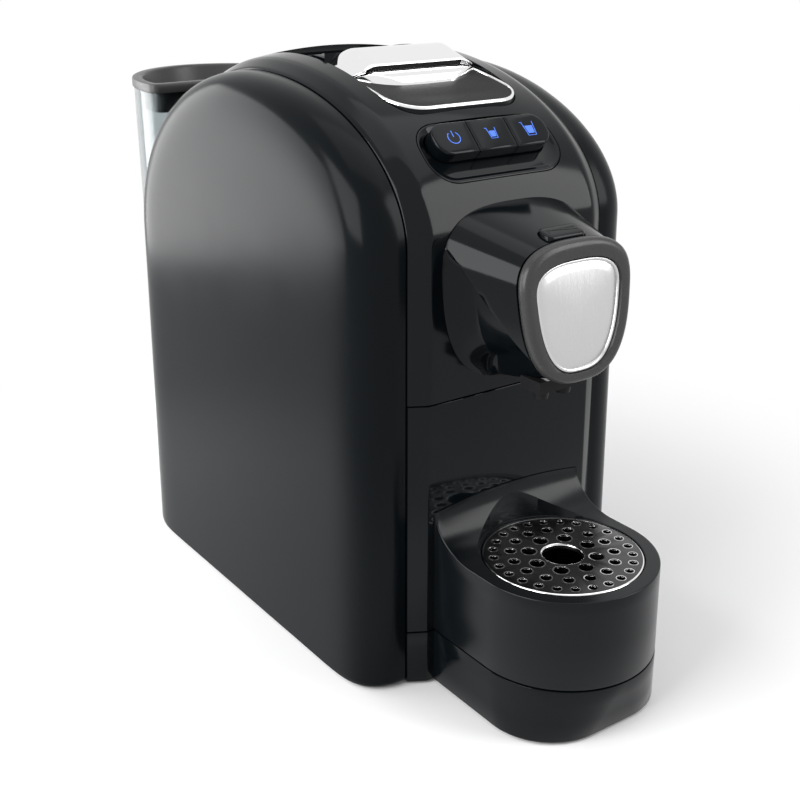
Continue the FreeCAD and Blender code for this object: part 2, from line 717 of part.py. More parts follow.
pad_rear = pivot[0] - barrel - float(d.fit_gap)
rim_inner = lever_plan(float(d.rim_width), pivot[0] + barrel)
rim_band = lever_band(0, floor_drop, lever_half + OVERCUT).common(lever_plan(0, pad_rear))
node("lever_rim", feature("lever_rim", rim_band.cut(rim_inner)))

inlay_half = lever_half - float(d.rim_width)
grip_front, grip_rear = float(back(d.grip_front)), float(back(d.grip_rear))
front_room = Part.makeBox(2 * lever_half, grip_front - float(back(d.lever_front)), OPEN_SKY * 3,
                          V(-lever_half, float(back(d.lever_front)), float(d.brew_height)))
front_pad = lever_band(floor_drop - float(d.pad_thickness), floor_drop, lever_half)
node("lever_front_pad", feature("lever_front_pad", front_pad.common(rim_inner).common(front_room)))


def along_lever(points):
    """A block with the side outline given as (y, z) points, over the width inside the rim."""
    corners = [V(-inlay_half, y, z) for y, z in points]
    face = Part.Face(Part.makePolygon(corners + corners[:1]))
    return face.extrude(V(2 * inlay_half, 0, 0))


floor_block = lever_band(-OPEN_SKY, floor_drop, lever_half)
grip_top, grip_lip = float(d.grip_top), float(d.grip_lip)
lip_reach = float(d.rim_width) * 2
LOW = float(d.brew_height)
grip_block = along_lever([
    (grip_front, LOW), (grip_front, grip_lip - lip_reach), (grip_front - lip_reach, grip_lip),
    (grip_front - lip_reach / 2, grip_lip + lip_reach), (grip_front + lip_reach, grip_top - 1.2),
    (grip_front + 2 * lip_reach, grip_top), (grip_rear, grip_top - lip_reach / 2), (grip_rear, LOW)])
grip = feature("grip_block", grip_block.common(floor_block))
doc.recompute()
grip_ends = rounded("grip_ends", grip, d.grip_corner, lambda edge: (
    abs(edge.Vertexes[0].Point.x - edge.Vertexes[-1].Point.x) < 0.01
    and abs(edge.Vertexes[0].Point.x) > inlay_half - 0.1
    and min(vertex.Point.z for vertex in edge.Vertexes) > grip_top - lip_reach))
node("lever_grip", grip_ends)
rear_block = along_lever([(grip_rear, LOW), (grip_rear, grip_top - lip_reach),
                          (pad_rear, lever_height(pad_rear)),
                          (pad_rear, LOW)])
node("lever_rear_pad", feature("lever_rear_pad", rear_block.common(floor_block)))

# Crank arms under the barrel, with the drive pin that moves the capsule holder
crank_y = pivot_y + d.crank * math.sin(crank_turn)
crank_z = d.pivot_height - d.crank * math.cos(crank_turn)
crank_spot, pivot_spot = spot(0, crank_y, crank_z), V(0, *pivot)
reach = (crank_spot - pivot_spot).normalize()
across = V(0, -reach.z, reach.y) * float(d.arm_half)
arm_root = pivot_spot + reach * (barrel * 0.8)
arm_corners = [arm_root + across, crank_spot + across, crank_spot - across, arm_root - across]
arm_face = Part.Face(Part.makePolygon(arm_corners + arm_corners[:1]))
arm_blade = arm_face.extrude(V(float(d.arm_plate), 0, 0)).fuse(
    Part.makeCylinder(float(d.arm_half), float(d.arm_plate), crank_spot, V(1, 0, 0)))
arm_blade = arm_blade.cut(bar_along_x(barrel, lever_half, *pivot))
arm_blade = arm_blade.cut(bar_along_x(float(d.drive_pin_radius), lever_half, crank_spot.y, crank_spot.z))
arm_blade.translate(V(float(d.arm_inner) / 2, 0, 0))
right_arm = feature("right_arm", arm_blade.removeSplitter())
node("lever_arms", group("lever_arms", right_arm, mirrored("left_arm", right_arm)))
bar_outer = d.bar_inner / 2 + d.bar_plate
node("drive_pin", rod("drive_pin", "x", (-bar_outer, crank_y, crank_z), d.drive_pin_radius, 2 * bar_outer))
node("hinge_pin", rod("hinge_pin", "x", (-tub_half, pivot_y, d.pivot_height), d.hinge_pin_radius,
                      2 * tub_half))

# Nose: tapered hood on the cover, cap with a recessed plate, release catch
cap_y = back(d.cap_setback)
nose_tail = float(front_y + d.nose_tail)


def nose_loft(offset, overrun):
    wires = [shield(d.cap_half - offset, d.cap_top - offset, d.cap_bottom + offset, float(cap_y) - overrun),
             shield(d.root_half - offset, d.root_top - offset, d.root_bottom + offset, front_y),
             shield(d.root_half - offset, d.root_top - offset, d.root_bottom + offset, nose_tail)]
    return Part.makeLoft(wires, True, True)


nose_skin = nose_loft(0, 0).cut(nose_loft(float(d.nose_wall), OVERCUT)).cut(cover_outer)
nose_skin = max(nose_skin.Solids, key=lambda solid: solid.Volume)
catch_y = span(back(d.catch_setback), d.catch_length)
catch_top = d.cap_top + d.catch_stand
catch_way = box("catch_way", both(d.catch_width / 2 + d.fit_gap),
                (catch_y[0] - d.fit_gap, catch_y[1] + d.fit_gap), (catch_top - 12, catch_top + 4))
spout_y = span(back(d.spout_setback) - d.spout_length / 2, d.spout_length)
spout_top = d.spout_low + d.nozzle_length + d.spout_block
spout_way = box("spout_way", both(d.spout_width / 2 + d.fit_gap),
                (spout_y[0] - d.fit_gap, spout_y[1] + d.fit_gap),
                (d.spout_low, d.cap_bottom + 8))
node("nose_shell", cut("nose_shell", feature("nose_skin", nose_skin), catch_way, spout_way))

bezel_front = float(cap_y) - float(d.bezel_depth)
cap_wires = [shield(d.cap_half, d.cap_top, d.cap_bottom, cap_y),
             shield(d.cap_half, d.cap_top, d.cap_bottom, float(cap_y) - float(d.bezel_depth) * 0.6),
             shield(d.cap_half - d.bezel_draft, d.cap_top - d.bezel_draft, d.cap_bottom + d.bezel_draft,
                    bezel_front)]
plate_back = bezel_front + float(d.plate_sink + d.plate_thickness)


def plate_loft(grow, front, rear):
    wires = [shield(d.plate_half + grow, d.plate_top + grow, d.plate_bottom - grow, y) for y in (rear, front)]
    return Part.makeLoft(wires, True, True)


plate_seat = plate_loft(d.fit_gap / 2, bezel_front - OVERCUT * 4, plate_back)
node("nose_bezel", feature("nose_bezel", Part.makeLoft(cap_wires, True, True).cut(plate_seat)))
node("badge_plate", feature("badge_plate", plate_loft(0, plate_back - float(d.plate_thickness), plate_back)))
catch_block = box("catch_block", both(d.catch_width / 2), catch_y, (catch_top - d.catch_height, catch_top))
node("nose_catch", rounded("nose_catch", catch_block, d.nose_wall / 2, upright))

# Spout and the channel that feeds it
spout_parts = [box("spout_block", both(d.spout_width / 2), spout_y, (spout_top - d.spout_block, spout_top))]
spout_bores = []
for side in (-1, 1):
    nozzle_at = (side * d.nozzle_spread / 2, back(d.spout_setback), d.spout_low)
    spout_parts.append(cone(f"nozzle{side + 1}", "z", nozzle_at, d.nozzle_radius * 0.8, d.nozzle_radius,
                            d.nozzle_length))
    spout_bores.append(rod(f"nozzle_bore{side + 1}", "z", nozzle_at, d.nozzle_bore, spout_top - d.spout_low))
node("spout", cut("spout", fuse("spout_body", *spout_parts), *spout_bores))
channel_y = (spout_y[0], back(d.channel_rear))
channel_z = span(spout_top, d.channel_height)
channel_block = box("channel_block", both(d.channel_width / 2), channel_y, channel_z)
channel_trough = box("channel_trough", both(d.channel_width / 2 - d.channel_wall),
                     (channel_y[0] + d.channel_wall, channel_y[1] - d.channel_wall),
                     (channel_z[0] + d.channel_wall, channel_z[1] + OVERCUT))
channel_drains = []
for side in (-1, 1):
    drain_at = (side * d.nozzle_spread / 2, back(d.spout_setback), channel_z[0])
    channel_drains.append(rod(f"drain{side + 1}", "z", drain_at, d.nozzle_bore * 0.7,
                              d.channel_wall + OVERCUT))
node("coffee_channel", cut("coffee_channel", channel_block, channel_trough, *channel_drains))

# Brew frame: deck between the chassis walls, two cheeks and the ledges that the holder slides on
deck = box("deck", both(chassis_inner), (back(d.front_setback) + d.wall * 3.5, back(d.deck_rear)),
           (d.deck_height, deck_top))
drop_hole = box("drop_hole", both(d.drop_width / 2), (chute_y[0] - d.chute_wall, chute_y[1]),
                (d.deck_height - OVERCUT, deck_top + OVERCUT))
riser_hole = rod("riser_hole", "z", (d.pump_offset, back(d.riser_setback), d.deck_height - OVERCUT),
                 d.hose_radius + d.fit_gap, d.deck_plate + 2 * OVERCUT)
cheek_half = d.cheek_inner / 2
frame_parts = [deck]
for side in (-1, 1):
    near, far = cheek_half * side, (cheek_half + d.cheek_plate) * side
    inside = (d.bar_inner / 2) * side
    cheek_x, ledge_x = ((near, far), (inside, near)) if side > 0 else ((far, near), (near, inside))
    lengths = (back(d.cheek_front), back(d.deck_rear))
    frame_parts.append(box(f"cheek{side + 1}", cheek_x, lengths, (deck_top, d.cheek_top)))
    frame_parts.append(box(f"ledge{side + 1}", ledge_x, lengths, span(d.ledge_height, d.ledge_thickness)))
channel_rests = box("channel_rest", both(d.channel_width / 2), span(back(d.cheek_front), d.deck_plate * 2),
                    (deck_top, channel_z[0]))
node("brew_frame", cut("brew_frame", fuse("brew_frame_body", *frame_parts, channel_rests), drop_hole,
                       riser_hole))

# Capsule holder: cup with two ears, on slide bars whose yokes take the drive pin
cup_y = back(d.cup_front)
bar_low = d.ledge_height + d.ledge_thickness + d.fit_gap
bar_top = bar_low + d.bar_depth
cup = rod("cup", "y", (0, cup_y, d.brew_height), d.cup_radius, d.cup_length)
cup_bore = rod("cup_bore", "y", (0, cup_y + d.cup_floor, d.brew_height), d.cup_bore, d.cup_length)
cup_drain = rod("cup_drain", "y", (0, cup_y - OVERCUT, d.brew_height - d.cup_bore * 0.8), d.nozzle_bore,
                d.cup_length)
yoke_y = (crank_y - d.yoke_length / 2, crank_y + d.yoke_length / 2)
slot_half = d.drive_pin_radius + d.slot_play
yoke_slot_z = (d.pivot_height - d.crank - slot_half, crank_z + slot_half)
yoke_top = yoke_slot_z[1] + d.bar_plate * 0.75
holder_parts, slide_bars = [cup], []
for side in (-1, 1):
    near, far = (d.bar_inner / 2) * side, bar_outer * side
    bar_x = (near, far) if side > 0 else (far, near)
    ear_x = (d.cup_radius * 0.8, near) if side > 0 else (near, -d.cup_radius * 0.8)
    bar = box(f"bar{side + 1}", bar_x, (cup_y, yoke_y[1]), (bar_low, bar_top))
    yoke = box(f"yoke{side + 1}", bar_x, yoke_y, (bar_low, yoke_top))
    yoke_slot = box(f"yoke_slot{side + 1}", bar_x, (crank_y - slot_half, crank_y + slot_half), yoke_slot_z)
    slide_bars.append(cut(f"slide_bar{side + 1}", fuse(f"bar_and_yoke{side + 1}", bar, yoke), yoke_slot))
    holder_parts.append(box(f"ear{side + 1}", ear_x, span(cup_y, d.cup_floor * 2), (bar_low, bar_top)))
node("capsule_holder", cut("capsule_holder", fuse("holder_body", *holder_parts), cup_bore, cup_drain))
node("slide_bars", group("slide_bars", *slide_bars))
gasket_ring = rod("gasket_ring", "y", (0, cup_y + d.cup_length, d.brew_height), d.gasket_rim,
                  d.gasket_thickness)
gasket_hole = rod("gasket_hole", "y", (0, cup_y + d.cup_length, d.brew_height), d.gasket_bore,
                  d.gasket_thickness)
node("holder_gasket", cut("holder_gasket", gasket_ring, gasket_hole))

# Fixed brew head with needles, and the heater block behind it
head_parts = [rod("head_disc", "y", (0, head_front, d.brew_height), d.head_radius, d.head_length),
              box("head_foot", both(d.head_radius / 2), (head_front + d.chute_wall, block_front),
                  (deck_top, d.brew_height))]
NEEDLES = 3
for at in range(NEEDLES):
    turn = math.radians(90 + 360 * at / NEEDLES)
    tip = (d.needle_ring * math.cos(turn), head_front - d.needle_length,
           d.brew_height + d.needle_ring * math.sin(turn))
    head_parts.append(cone(f"needle{at}", "y", tip, d.needle_radius * 0.2, d.needle_radius,
                           d.needle_length + OVERCUT))
node("brew_head", fuse("brew_head", *head_parts))
block_y = span(block_front, d.block_length)
block_parts = [box("block", both(d.block_width / 2), block_y, (d.block_low, d.block_top))]
for at, y in enumerate((block_y[0], block_y[1] - d.block_leg)):
    block_parts.append(box(f"block_leg{at}", both(d.block_width / 2), span(y, d.block_leg),
                           (deck_top, d.block_low)))
node("thermoblock", fuse("thermoblock", *block_parts))
thermostats = []
for at in (0, 1):
    button_y = block_y[0] + d.thermostat_radius * 2 + d.thermostat_spacing * at
    thermostats.append(rod(f"thermostat{at}", "z", (0, button_y, d.block_top), d.thermostat_radius,
                           d.thermostat_height))
node("thermostats", group("thermostats", *thermostats))
chute_outer = box("chute_outer", both(d.chute_width / 2 + d.chute_wall),
                  (chute_y[0] - d.chute_wall, chute_y[1] + d.chute_wall), (d.chute_low, d.chute_top))
chute_inner = box("chute_inner", chute_x, chute_y, (d.chute_low - OVERCUT, d.chute_top + OVERCUT))
node("capsule_chute", cut("capsule_chute", chute_outer, chute_inner))

# Base tray with the column's foot, the rear shelf for the tank and the drawer's rails
def foot_outline(z, inset):
    """Plan of the column's foot at a height: round above, squarer and drawn back below."""
    share = max(float(base_top) - z, 0) / float(base_top - d.panel_clear)
    half = float(d.column_radius) - inset
    corner = (half - 0.3) * (1 - share) + (float(d.foot_corner) - inset) * share
    nose = float(disc_y) - half + float(d.foot_draw) * share
    rear = float(front_y + d.wall) - inset
    left_rear, right_rear = V(-half, rear, z), V(half, rear, z)
    left_bend, right_bend = V(-half, nose + corner, z), V(half, nose + corner, z)
    left_nose, right_nose = V(corner - half, nose, z), V(half - corner, nose, z)
    return Part.Wire([line(right_rear, left_rear), line(left_rear, left_bend),
                      quarter(V(corner - half, nose + corner, z), left_bend, left_nose),
                      line(left_nose, right_nose),
                      quarter(V(half - corner, nose + corner, z), right_nose, right_bend),
                      line(right_bend, right_rear)])


def foot_loft(inset, *heights):
    return Part.makeLoft([foot_outline(float(z), inset) for z in heights], True, True)


column_foot = feature("column_foot", foot_loft(0, d.panel_clear, base_top))
foot_hollow = feature("foot_hollow", foot_loft(float(d.wall), d.panel_clear + d.wall, base_top,
                                               base_top + OVERCUT))


def front_outline(drawing, inner):
    """Plan of the housing's front: flat middle and a bevel each side, closed behind."""
    shift = d.wall if inner else 0
    turn_x, side_x = cover_half - shift / 2, shell_half - shift
    rear = rear_y - shift
    polygon(drawing, [(-side_x, rear), (-side_x, front_y + d.bevel_drop + shift), (-turn_x, front_y + shift),
                      (turn_x, front_y + shift), (side_x, front_y + d.bevel_drop + shift), (side_x, rear)])


pan = body("pan")
drawing = sketch(pan, d.panel_clear)
front_outline(drawing, False)
pad(pan, drawing, base_top - d.panel_clear)
drawing = sketch(pan, base_top)
front_outline(drawing, True)
pocket(pan, drawing, base_top - base_floor)
shelf_corner = d.shelf_width * 0.4


def shelf_block(name, inset, z):
    """The shelf's block, drawn in by inset, with its rear corners round."""
    rear = rear_y + d.shelf_length - inset
    block = box(name, both(d.shelf_width / 2 - inset), (rear_y, rear), z)
    return rounded(f"{name}_round", block, shelf_corner - inset,
                   lambda edge: upright(edge) and edge.Vertexes[0].Point.y > float(rear) - 0.01)


shelf = shelf_block("shelf", 0, (d.panel_clear, d.shelf_top))
shelf_hollow = shelf_block("shelf_hollow", d.wall, (d.panel_clear - OVERCUT, d.shelf_top - d.shelf_plate))
valve_y = back(d.valve_setback)
coupling_way = rod("coupling_way", "z", (0, valve_y, d.panel_clear), d.coupling_radius, d.shelf_top)
hose_way = rod("hose_way", "y", (d.meter_offset, rear_y - d.wall * 2, d.hose_height),
               d.hose_radius + d.fit_gap, d.wall * 3)
gland_y = rear_y + d.shelf_length
gland_way = rod("gland_way", "y", (0, gland_y - d.wall * 2, d.gland_height), d.gland_radius,
                d.wall * 3)
base_body = fuse("base_body", cut("foot_cup", column_foot, foot_hollow), pan,
                 cut("shelf_body", shelf, shelf_hollow))
node("base_tray", cut("base_tray", base_body, coupling_way, hose_way, gland_way))

rails = []
for side in (-1, 1):
    rail_x = span(side * d.rail_spacing / 2 - d.rail_width / 2, d.rail_width)
    rails.append(box(f"rail{side + 1}", rail_x, (front_y + d.wall * 2, front_y + d.wall + d.bin_depth),
                     (base_floor, drawer_low - d.seam_gap / 4)))
node("drawer_rails", group("drawer_rails", *rails))
foot_spots = [(side * d.foot_spread / 2, back(y)) for y in (d.foot_front, d.foot_rear) for side in (-1, 1)]
foot_spots += [(side * d.column_foot_setback, disc_y) for side in (-1, 1)]
feet = [cone(f"foot{at}", "z", (x, y, 0), d.foot_radius - d.foot_taper, d.foot_radius, d.panel_clear)
        for at, (x, y) in enumerate(foot_spots)]
node("rubber_feet", group("rubber_feet", *feet))

# Rear cover above the shelf
node("rear_cover", box("rear_cover", both(chassis_outer), (rear_y - d.wall, rear_y),
                       (base_top, d.rear_spring - d.seam_gap * 1.5)))

# Drawer: front panel with bevelled stiles, drip column with a coved back, perforated disc and capsule bin
panel = body("lower_front_panel")
drawing = sketch(panel, drawer_low)
inner_turn = cover_half - d.wall / 4
polygon(drawing, [(-shell_half, front_y + d.bevel_drop), (-cover_half, front_y), (cover_half, front_y),
                  (shell_half, front_y + d.bevel_drop), (shell_half, front_y + d.bevel_drop + d.wall),
                  (inner_turn, front_y + d.wall), (-inner_turn, front_y + d.wall),
                  (-shell_half, front_y + d.bevel_drop + d.wall)])
pad(panel, drawing, drawer_top - drawer_low)
node("lower_front_panel", panel)

column_top = d.disc_height + d.cove_radius
column_rear = front_y
cove_y = back(d.cove_setback)
column_plan = fuse("column_plan",
                   rod("column_front", "z", (0, disc_y, drawer_low), d.column_radius,
                       column_top - drawer_low),
                   box("column_back", both(d.column_radius), (disc_y, column_rear), (drawer_low, column_top)))
column_body = common("column_body", column_plan,
                     box("column_room", both(d.column_radius), (disc_y - d.column_radius, column_rear),
                         (drawer_low, column_top)))
above = box("above_disc", both(d.column_radius + OVERCUT), (disc_y - d.column_radius - OVERCUT, cove_y),
            (d.disc_height, column_top + OVERCUT))
cove = rod("cove", "x", (-d.column_radius - OVERCUT, cove_y, column_top), d.cove_radius,
           2 * d.column_radius + 2 * OVERCUT)
seat_low = d.disc_height - d.disc_thickness
disc_seat = rod("disc_seat", "z", (0, disc_y, seat_low), d.disc_radius + d.fit_gap, d.cove_radius * 2)
bowl = rod("bowl", "z", (0, disc_y, drawer_low + d.bowl_floor), d.bowl_radius, d.disc_height)
node("drip_column", cut("drip_column", column_body, above, cove, disc_seat, bowl))

disc = body("drip_disc")
disc.Placement = FreeCAD.Placement(spot(0, disc_y, seat_low), FreeCAD.Rotation())
drawing = sketch(disc)
circle(drawing, 0, 0, d.disc_radius)
disc_plate = pad(disc, drawing, d.disc_thickness)
doc.recompute()
top_rim = float(d.disc_thickness)
dress(disc, "Chamfer", disc_plate, d.disc_chamfer,
      lambda edge: all(abs(vertex.Point.z - top_rim) < 0.01 for vertex in edge.Vertexes))
drawing = sketch(disc, d.disc_thickness)
circle(drawing, 0, 0, d.pour_hole)
pocket(disc, drawing, d.disc_thickness)
turn_axis = next(item for item in disc.Origin.OriginFeatures if item.Role == "Z_Axis")
for ring, hole, count, first in ((d.ring_one, d.hole_one, 8, 0), (d.ring_two, d.hole_two, 15, 90),
                                 (d.ring_three, d.hole_three, 25, 180)):
    drawing = sketch(disc, d.disc_thickness)
    turn = math.radians(first)
    circle(drawing, ring * math.cos(turn), ring * math.sin(turn), hole)
    one_hole = pocket(disc, drawing, d.disc_thickness)
    pattern = disc.newObject("PartDesign::PolarPattern", "disc_ring")
    pattern.Originals = [one_hole]
    pattern.Axis = (turn_axis, [""])
    pattern.Angle = 360
    pattern.Occurrences = count
    disc.Tip = pattern
    doc.recompute()
node("drip_disc", disc)

bin_y = span(front_y + d.wall, d.bin_depth)
bin_z = span(drawer_low, bin_height)
bin_block = rounded("bin_block", box("bin_solid", both(d.bin_width / 2), bin_y, bin_z), d.bin_corner, upright)
bin_hollow = box("bin_hollow", both(d.bin_width / 2 - d.bin_wall),
                 (bin_y[0] + d.bin_wall, bin_y[1] - d.bin_wall),
                 (bin_z[0] + d.bin_wall, bin_z[1] + OVERCUT))
bin_room = rounded("bin_room", bin_hollow, d.bin_corner - d.bin_wall, upright)
node("capsule_bin", cut("capsule_bin", bin_block, bin_room))


# Water tank: half an ellipse in plan, narrower below, with a dished lid
def tank_outline(inset, z, front_inset):
    half, bow = float(d.tank_half) - inset, float(d.tank_bow) - inset
    axis, front = float(back(d.tank_axis)), float(back(d.tank_front)) + front_inset
    left, right, rear = V(-half, axis, z), V(half, axis, z), V(0, axis + bow, z)
    center = V(0, axis, z)
    return Part.Wire([quarter(center, right, rear), quarter(center, rear, left),
                      line(left, V(-half, front, z)),
                      line(V(-half, front, z), V(half, front, z)), line(V(half, front, z), right)])


tank_low = float(d.shelf_top + d.tank_clear)
tank_top, tank_wall, taper = float(d.tank_top), float(d.tank_wall), float(d.tank_taper)


def tank_loft(inset, low, high):
    slope = taper / (tank_top - tank_low)
    return Part.makeLoft([tank_outline(inset + slope * (tank_top - z), z, inset) for z in (low, high)],
                         True, True)


tank_shell = tank_loft(0, tank_low, tank_top).cut(tank_loft(tank_wall, tank_low + tank_wall,
                                                            tank_top + OVERCUT))
valve_way = rod("valve_way", "z", (0, valve_y, tank_low - OVERCUT), d.valve_radius, d.tank_wall + 2 * OVERCUT)
node("water_tank", cut("water_tank", feature("tank_shell", tank_shell), valve_way))
lid_top = float(d.lid_top)


def lid_loft(inset, low, high):
    return Part.makeLoft([tank_outline(inset, z, inset) for z in (low, high)], True, True)


overhang, lid_wall, lid_inset = float(d.lid_overhang), float(d.lid_wall), float(d.lid_inset)
skirt_low = tank_top - float(d.lid_skirt)
lid = lid_loft(-overhang, tank_top + 0.3, lid_top).fuse(lid_loft(lid_inset, skirt_low, lid_top))
lid = lid.cut(lid_loft(lid_inset + lid_wall, skirt_low + lid_wall, lid_top + OVERCUT))
node("tank_lid", feature("tank_lid", lid.removeSplitter()))
valve_low = d.coupling_low + d.coupling_floor + d.valve_play
valve_seat = d.shelf_top + d.tank_clear + d.tank_wall
valve_stem = rod("valve_stem", "z", (0, valve_y, valve_low), d.valve_radius, valve_seat - valve_low)
valve_top = rod("valve_top", "z", (0, valve_y, valve_seat), d.valve_flange, d.valve_head)
node("tank_valve", fuse("tank_valve", valve_stem, valve_top))
coupling = rod("coupling_cup", "z", (0, valve_y, d.coupling_low), d.coupling_radius,
               d.shelf_top - d.coupling_low)
coupling_bore = rod("coupling_bore", "z", (0, valve_y, d.coupling_low + d.coupling_floor),
                    d.valve_radius + d.valve_play, d.shelf_top)
node("tank_coupling", cut("tank_coupling", coupling, coupling_bore))

# Water circuit: flow meter, pump on rubber saddles, hoses
meter_y = back(d.meter_setback)
node("flow_meter", rod("flow_meter", "z", (d.meter_offset, meter_y, base_floor), d.meter_radius,
                       d.meter_height))
pump_y = span(back(d.pump_front), d.pump_length)
pump_at = (d.pump_offset, d.pump_height)
coil_y = span(pump_y[0] + d.pump_neck * 2, d.pump_coil)
pump_parts = [rod("pump_barrel", "y", (pump_at[0], pump_y[0] + d.pump_neck, pump_at[1]), d.pump_radius * 0.7,
                  d.pump_length - d.pump_neck * 2),
              rod("pump_coil_body", "y", (pump_at[0], coil_y[0], pump_at[1]), d.pump_radius, d.pump_coil),
              rod("pump_necks", "y", (pump_at[0], pump_y[0], pump_at[1]), d.pump_neck, d.pump_length)]
node("pump", fuse("pump", *pump_parts))
saddles = []
for at, y in enumerate((coil_y[0], coil_y[1] - d.mount_length)):
    block = box(f"saddle_block{at}", span(pump_at[0] - d.mount_width / 2, d.mount_width),
                span(y, d.mount_length),
                (base_floor, pump_at[1] - d.pump_radius + d.mount_rise))
    hollow = rod(f"saddle_round{at}", "y", (pump_at[0], y - OVERCUT, pump_at[1]), d.pump_radius,
                 d.mount_length + 2 * OVERCUT)
    saddles.append(cut(f"saddle{at}", block, hollow))
node("pump_mounts", group("pump_mounts", *saddles))

hose_r, bend = float(d.hose_radius), float(d.hose_bend)
coupling_side = valve_y - d.coupling_radius
node("tank_hose", feature("tank_hose", tube([
    spot(0, coupling_side, d.hose_height), spot(0, coupling_side - d.hose_bend * 0.6, d.hose_height),
    spot(d.meter_offset, rear_y + d.hose_bend * 0.75, d.hose_height),
    spot(d.meter_offset, meter_y + d.meter_radius, d.hose_height)], hose_r, bend * 0.4)))
meter_top = base_floor + d.meter_height
inlet_y = pump_y[1] + d.hose_bend + d.hose_radius
node("pump_inlet_hose", feature("pump_inlet_hose", tube([
    spot(d.meter_offset, meter_y, meter_top), spot(d.meter_offset, meter_y, pump_at[1]),
    spot(pump_at[0], inlet_y, pump_at[1]), spot(pump_at[0], pump_y[1], pump_at[1])], hose_r, bend * 0.7)))
riser_y = back(d.riser_setback)
node("pressure_hose", feature("pressure_hose", tube([
    spot(pump_at[0], pump_y[0], pump_at[1]), spot(pump_at[0], riser_y, pump_at[1]),
    spot(pump_at[0], riser_y, d.block_low)], hose_r, bend * 0.7)))

# Control board on standoffs, and the grommet of the mains lead
circuit_x = -chassis_inner + d.standoff
circuit_y = span(back(d.circuit_front), d.circuit_length)
circuit_z = span(d.circuit_low, d.circuit_tall)
circuit_parts = [box("circuit_plate", span(circuit_x, d.circuit_plate), circuit_y, circuit_z)]
for at, (y, z) in enumerate((y, z) for y in circuit_y for z in circuit_z):
    inward_y = d.standoff * 2 if at < 2 else -d.standoff * 2
    inward_z = d.standoff * 2 if at % 2 == 0 else -d.standoff * 2
    circuit_parts.append(rod(f"standoff{at}", "x", (-chassis_inner, y + inward_y, z + inward_z), d.standoff,
                             d.standoff))
face_x = circuit_x + d.circuit_plate
circuit_parts += [
    box("relay", span(face_x, d.standoff * 5), span(circuit_y[0] + d.standoff * 6, d.standoff * 8),
        span(circuit_z[0] + d.standoff * 4, d.standoff * 6)),
    box("mains_filter", span(face_x, d.standoff * 4), span(circuit_y[0] + d.standoff * 17, d.standoff * 7),
        span(circuit_z[0] + d.standoff * 12, d.standoff * 9))]
node("control_board", fuse("control_board", *circuit_parts))
gland_parts = [rod("gland_neck", "y", (0, gland_y - d.wall, d.gland_height), d.gland_radius,
                   d.wall),
               rod("gland_rim", "y", (0, gland_y, d.gland_height), d.gland_flange * 0.8,
                   d.gland_length / 2)]
gland_bore = rod("gland_bore", "y", (0, gland_y - d.wall * 2, d.gland_height),
                 d.gland_radius * 0.7, d.gland_length * 3)
node("cord_gland", cut("cord_gland", fuse("gland_body", *gland_parts), gland_bore))

# Check and write
doc.recompute()
failed = [part.Name for part in doc.Objects if "Invalid" in part.State or "Error" in part.State]
if failed:
    raise RuntimeError(f"these pieces failed: {failed}")
for name, part in nodes.items():
    if part.Shape.isNull() or not part.Shape.isValid() or not part.Shape.Solids:
        raise RuntimeError(f"{name} has no valid solid")
os.makedirs("parts", exist_ok=True)
for name, part in nodes.items():
    part.Shape.exportStep(f"parts/{name}.step")
print(len(nodes), "pieces written")
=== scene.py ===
"""Visual model of a pod coffee machine, built over its CAD frame."""

import json
import math

import bmesh
import bpy
from mathutils import Matrix, Vector


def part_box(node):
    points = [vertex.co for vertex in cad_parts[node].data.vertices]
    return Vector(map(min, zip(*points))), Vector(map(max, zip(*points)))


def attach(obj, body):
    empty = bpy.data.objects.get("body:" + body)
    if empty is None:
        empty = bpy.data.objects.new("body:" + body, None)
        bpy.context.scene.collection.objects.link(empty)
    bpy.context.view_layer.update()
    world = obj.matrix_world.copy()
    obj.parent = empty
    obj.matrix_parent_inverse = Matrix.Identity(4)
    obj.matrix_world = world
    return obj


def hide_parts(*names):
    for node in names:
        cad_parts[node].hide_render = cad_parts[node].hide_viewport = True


bl_info = {
    "name": "Pod Coffee Machine",
    "version": (1, 0, 0),
    "blender": (4, 5, 0),
    "location": "View3D > Sidebar > Coffee",
    "description": "Builds the smooth outer pieces, materials and stage of a pod coffee machine",
    "category": "Object",
}

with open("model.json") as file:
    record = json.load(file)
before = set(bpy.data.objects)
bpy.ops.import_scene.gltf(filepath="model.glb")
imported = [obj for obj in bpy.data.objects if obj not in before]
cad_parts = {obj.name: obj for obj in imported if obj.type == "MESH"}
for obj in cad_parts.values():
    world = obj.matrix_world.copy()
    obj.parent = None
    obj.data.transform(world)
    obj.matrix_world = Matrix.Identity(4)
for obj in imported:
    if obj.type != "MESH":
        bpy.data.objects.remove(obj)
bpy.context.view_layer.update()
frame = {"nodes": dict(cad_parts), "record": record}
MM = 0.001

# Lengths are in millimetres. Setback runs backwards from the axis of the drip disc.
disc_low, disc_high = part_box("drip_disc")
AXIS_Y = (disc_low.y + disc_high.y) / 2 / MM
FRONT, CREST, REAR = 36.0, 150.0, 262.0
FRONT_SPRING, REAR_SPRING, TOP, CROWN = 195.0, 168.0, 261.0, 4.0
COVER_HALF, SHELL_HALF, BEVEL_DROP, WALL = 44.0, 51.5, 4.3, 2.6
COVER_LOW, PANEL_LOW = 131.3, 1.2
PANEL_INNER, PANEL_EDGE, PANEL_OUTER = 52.2, 55.0, 73.0
PANEL_INSET, BULGE_INSET, PANEL_CORNER = 5.0, 47.7, 3.0
ROLL_POWER, FLAT_MIDDLE, FLAT_LEVEL = 6.5, 149.0, 100.0
LEVER_HALF, LEVER_FRONT, LEVER_CORNER, RIM_WIDTH = 34.0, 70.0, 15.0, 1.2
PIVOT = 170.0
LEVER_POINTS = ((70.0, 246.8), (118.0, 257.2), (170.0, 259.0))
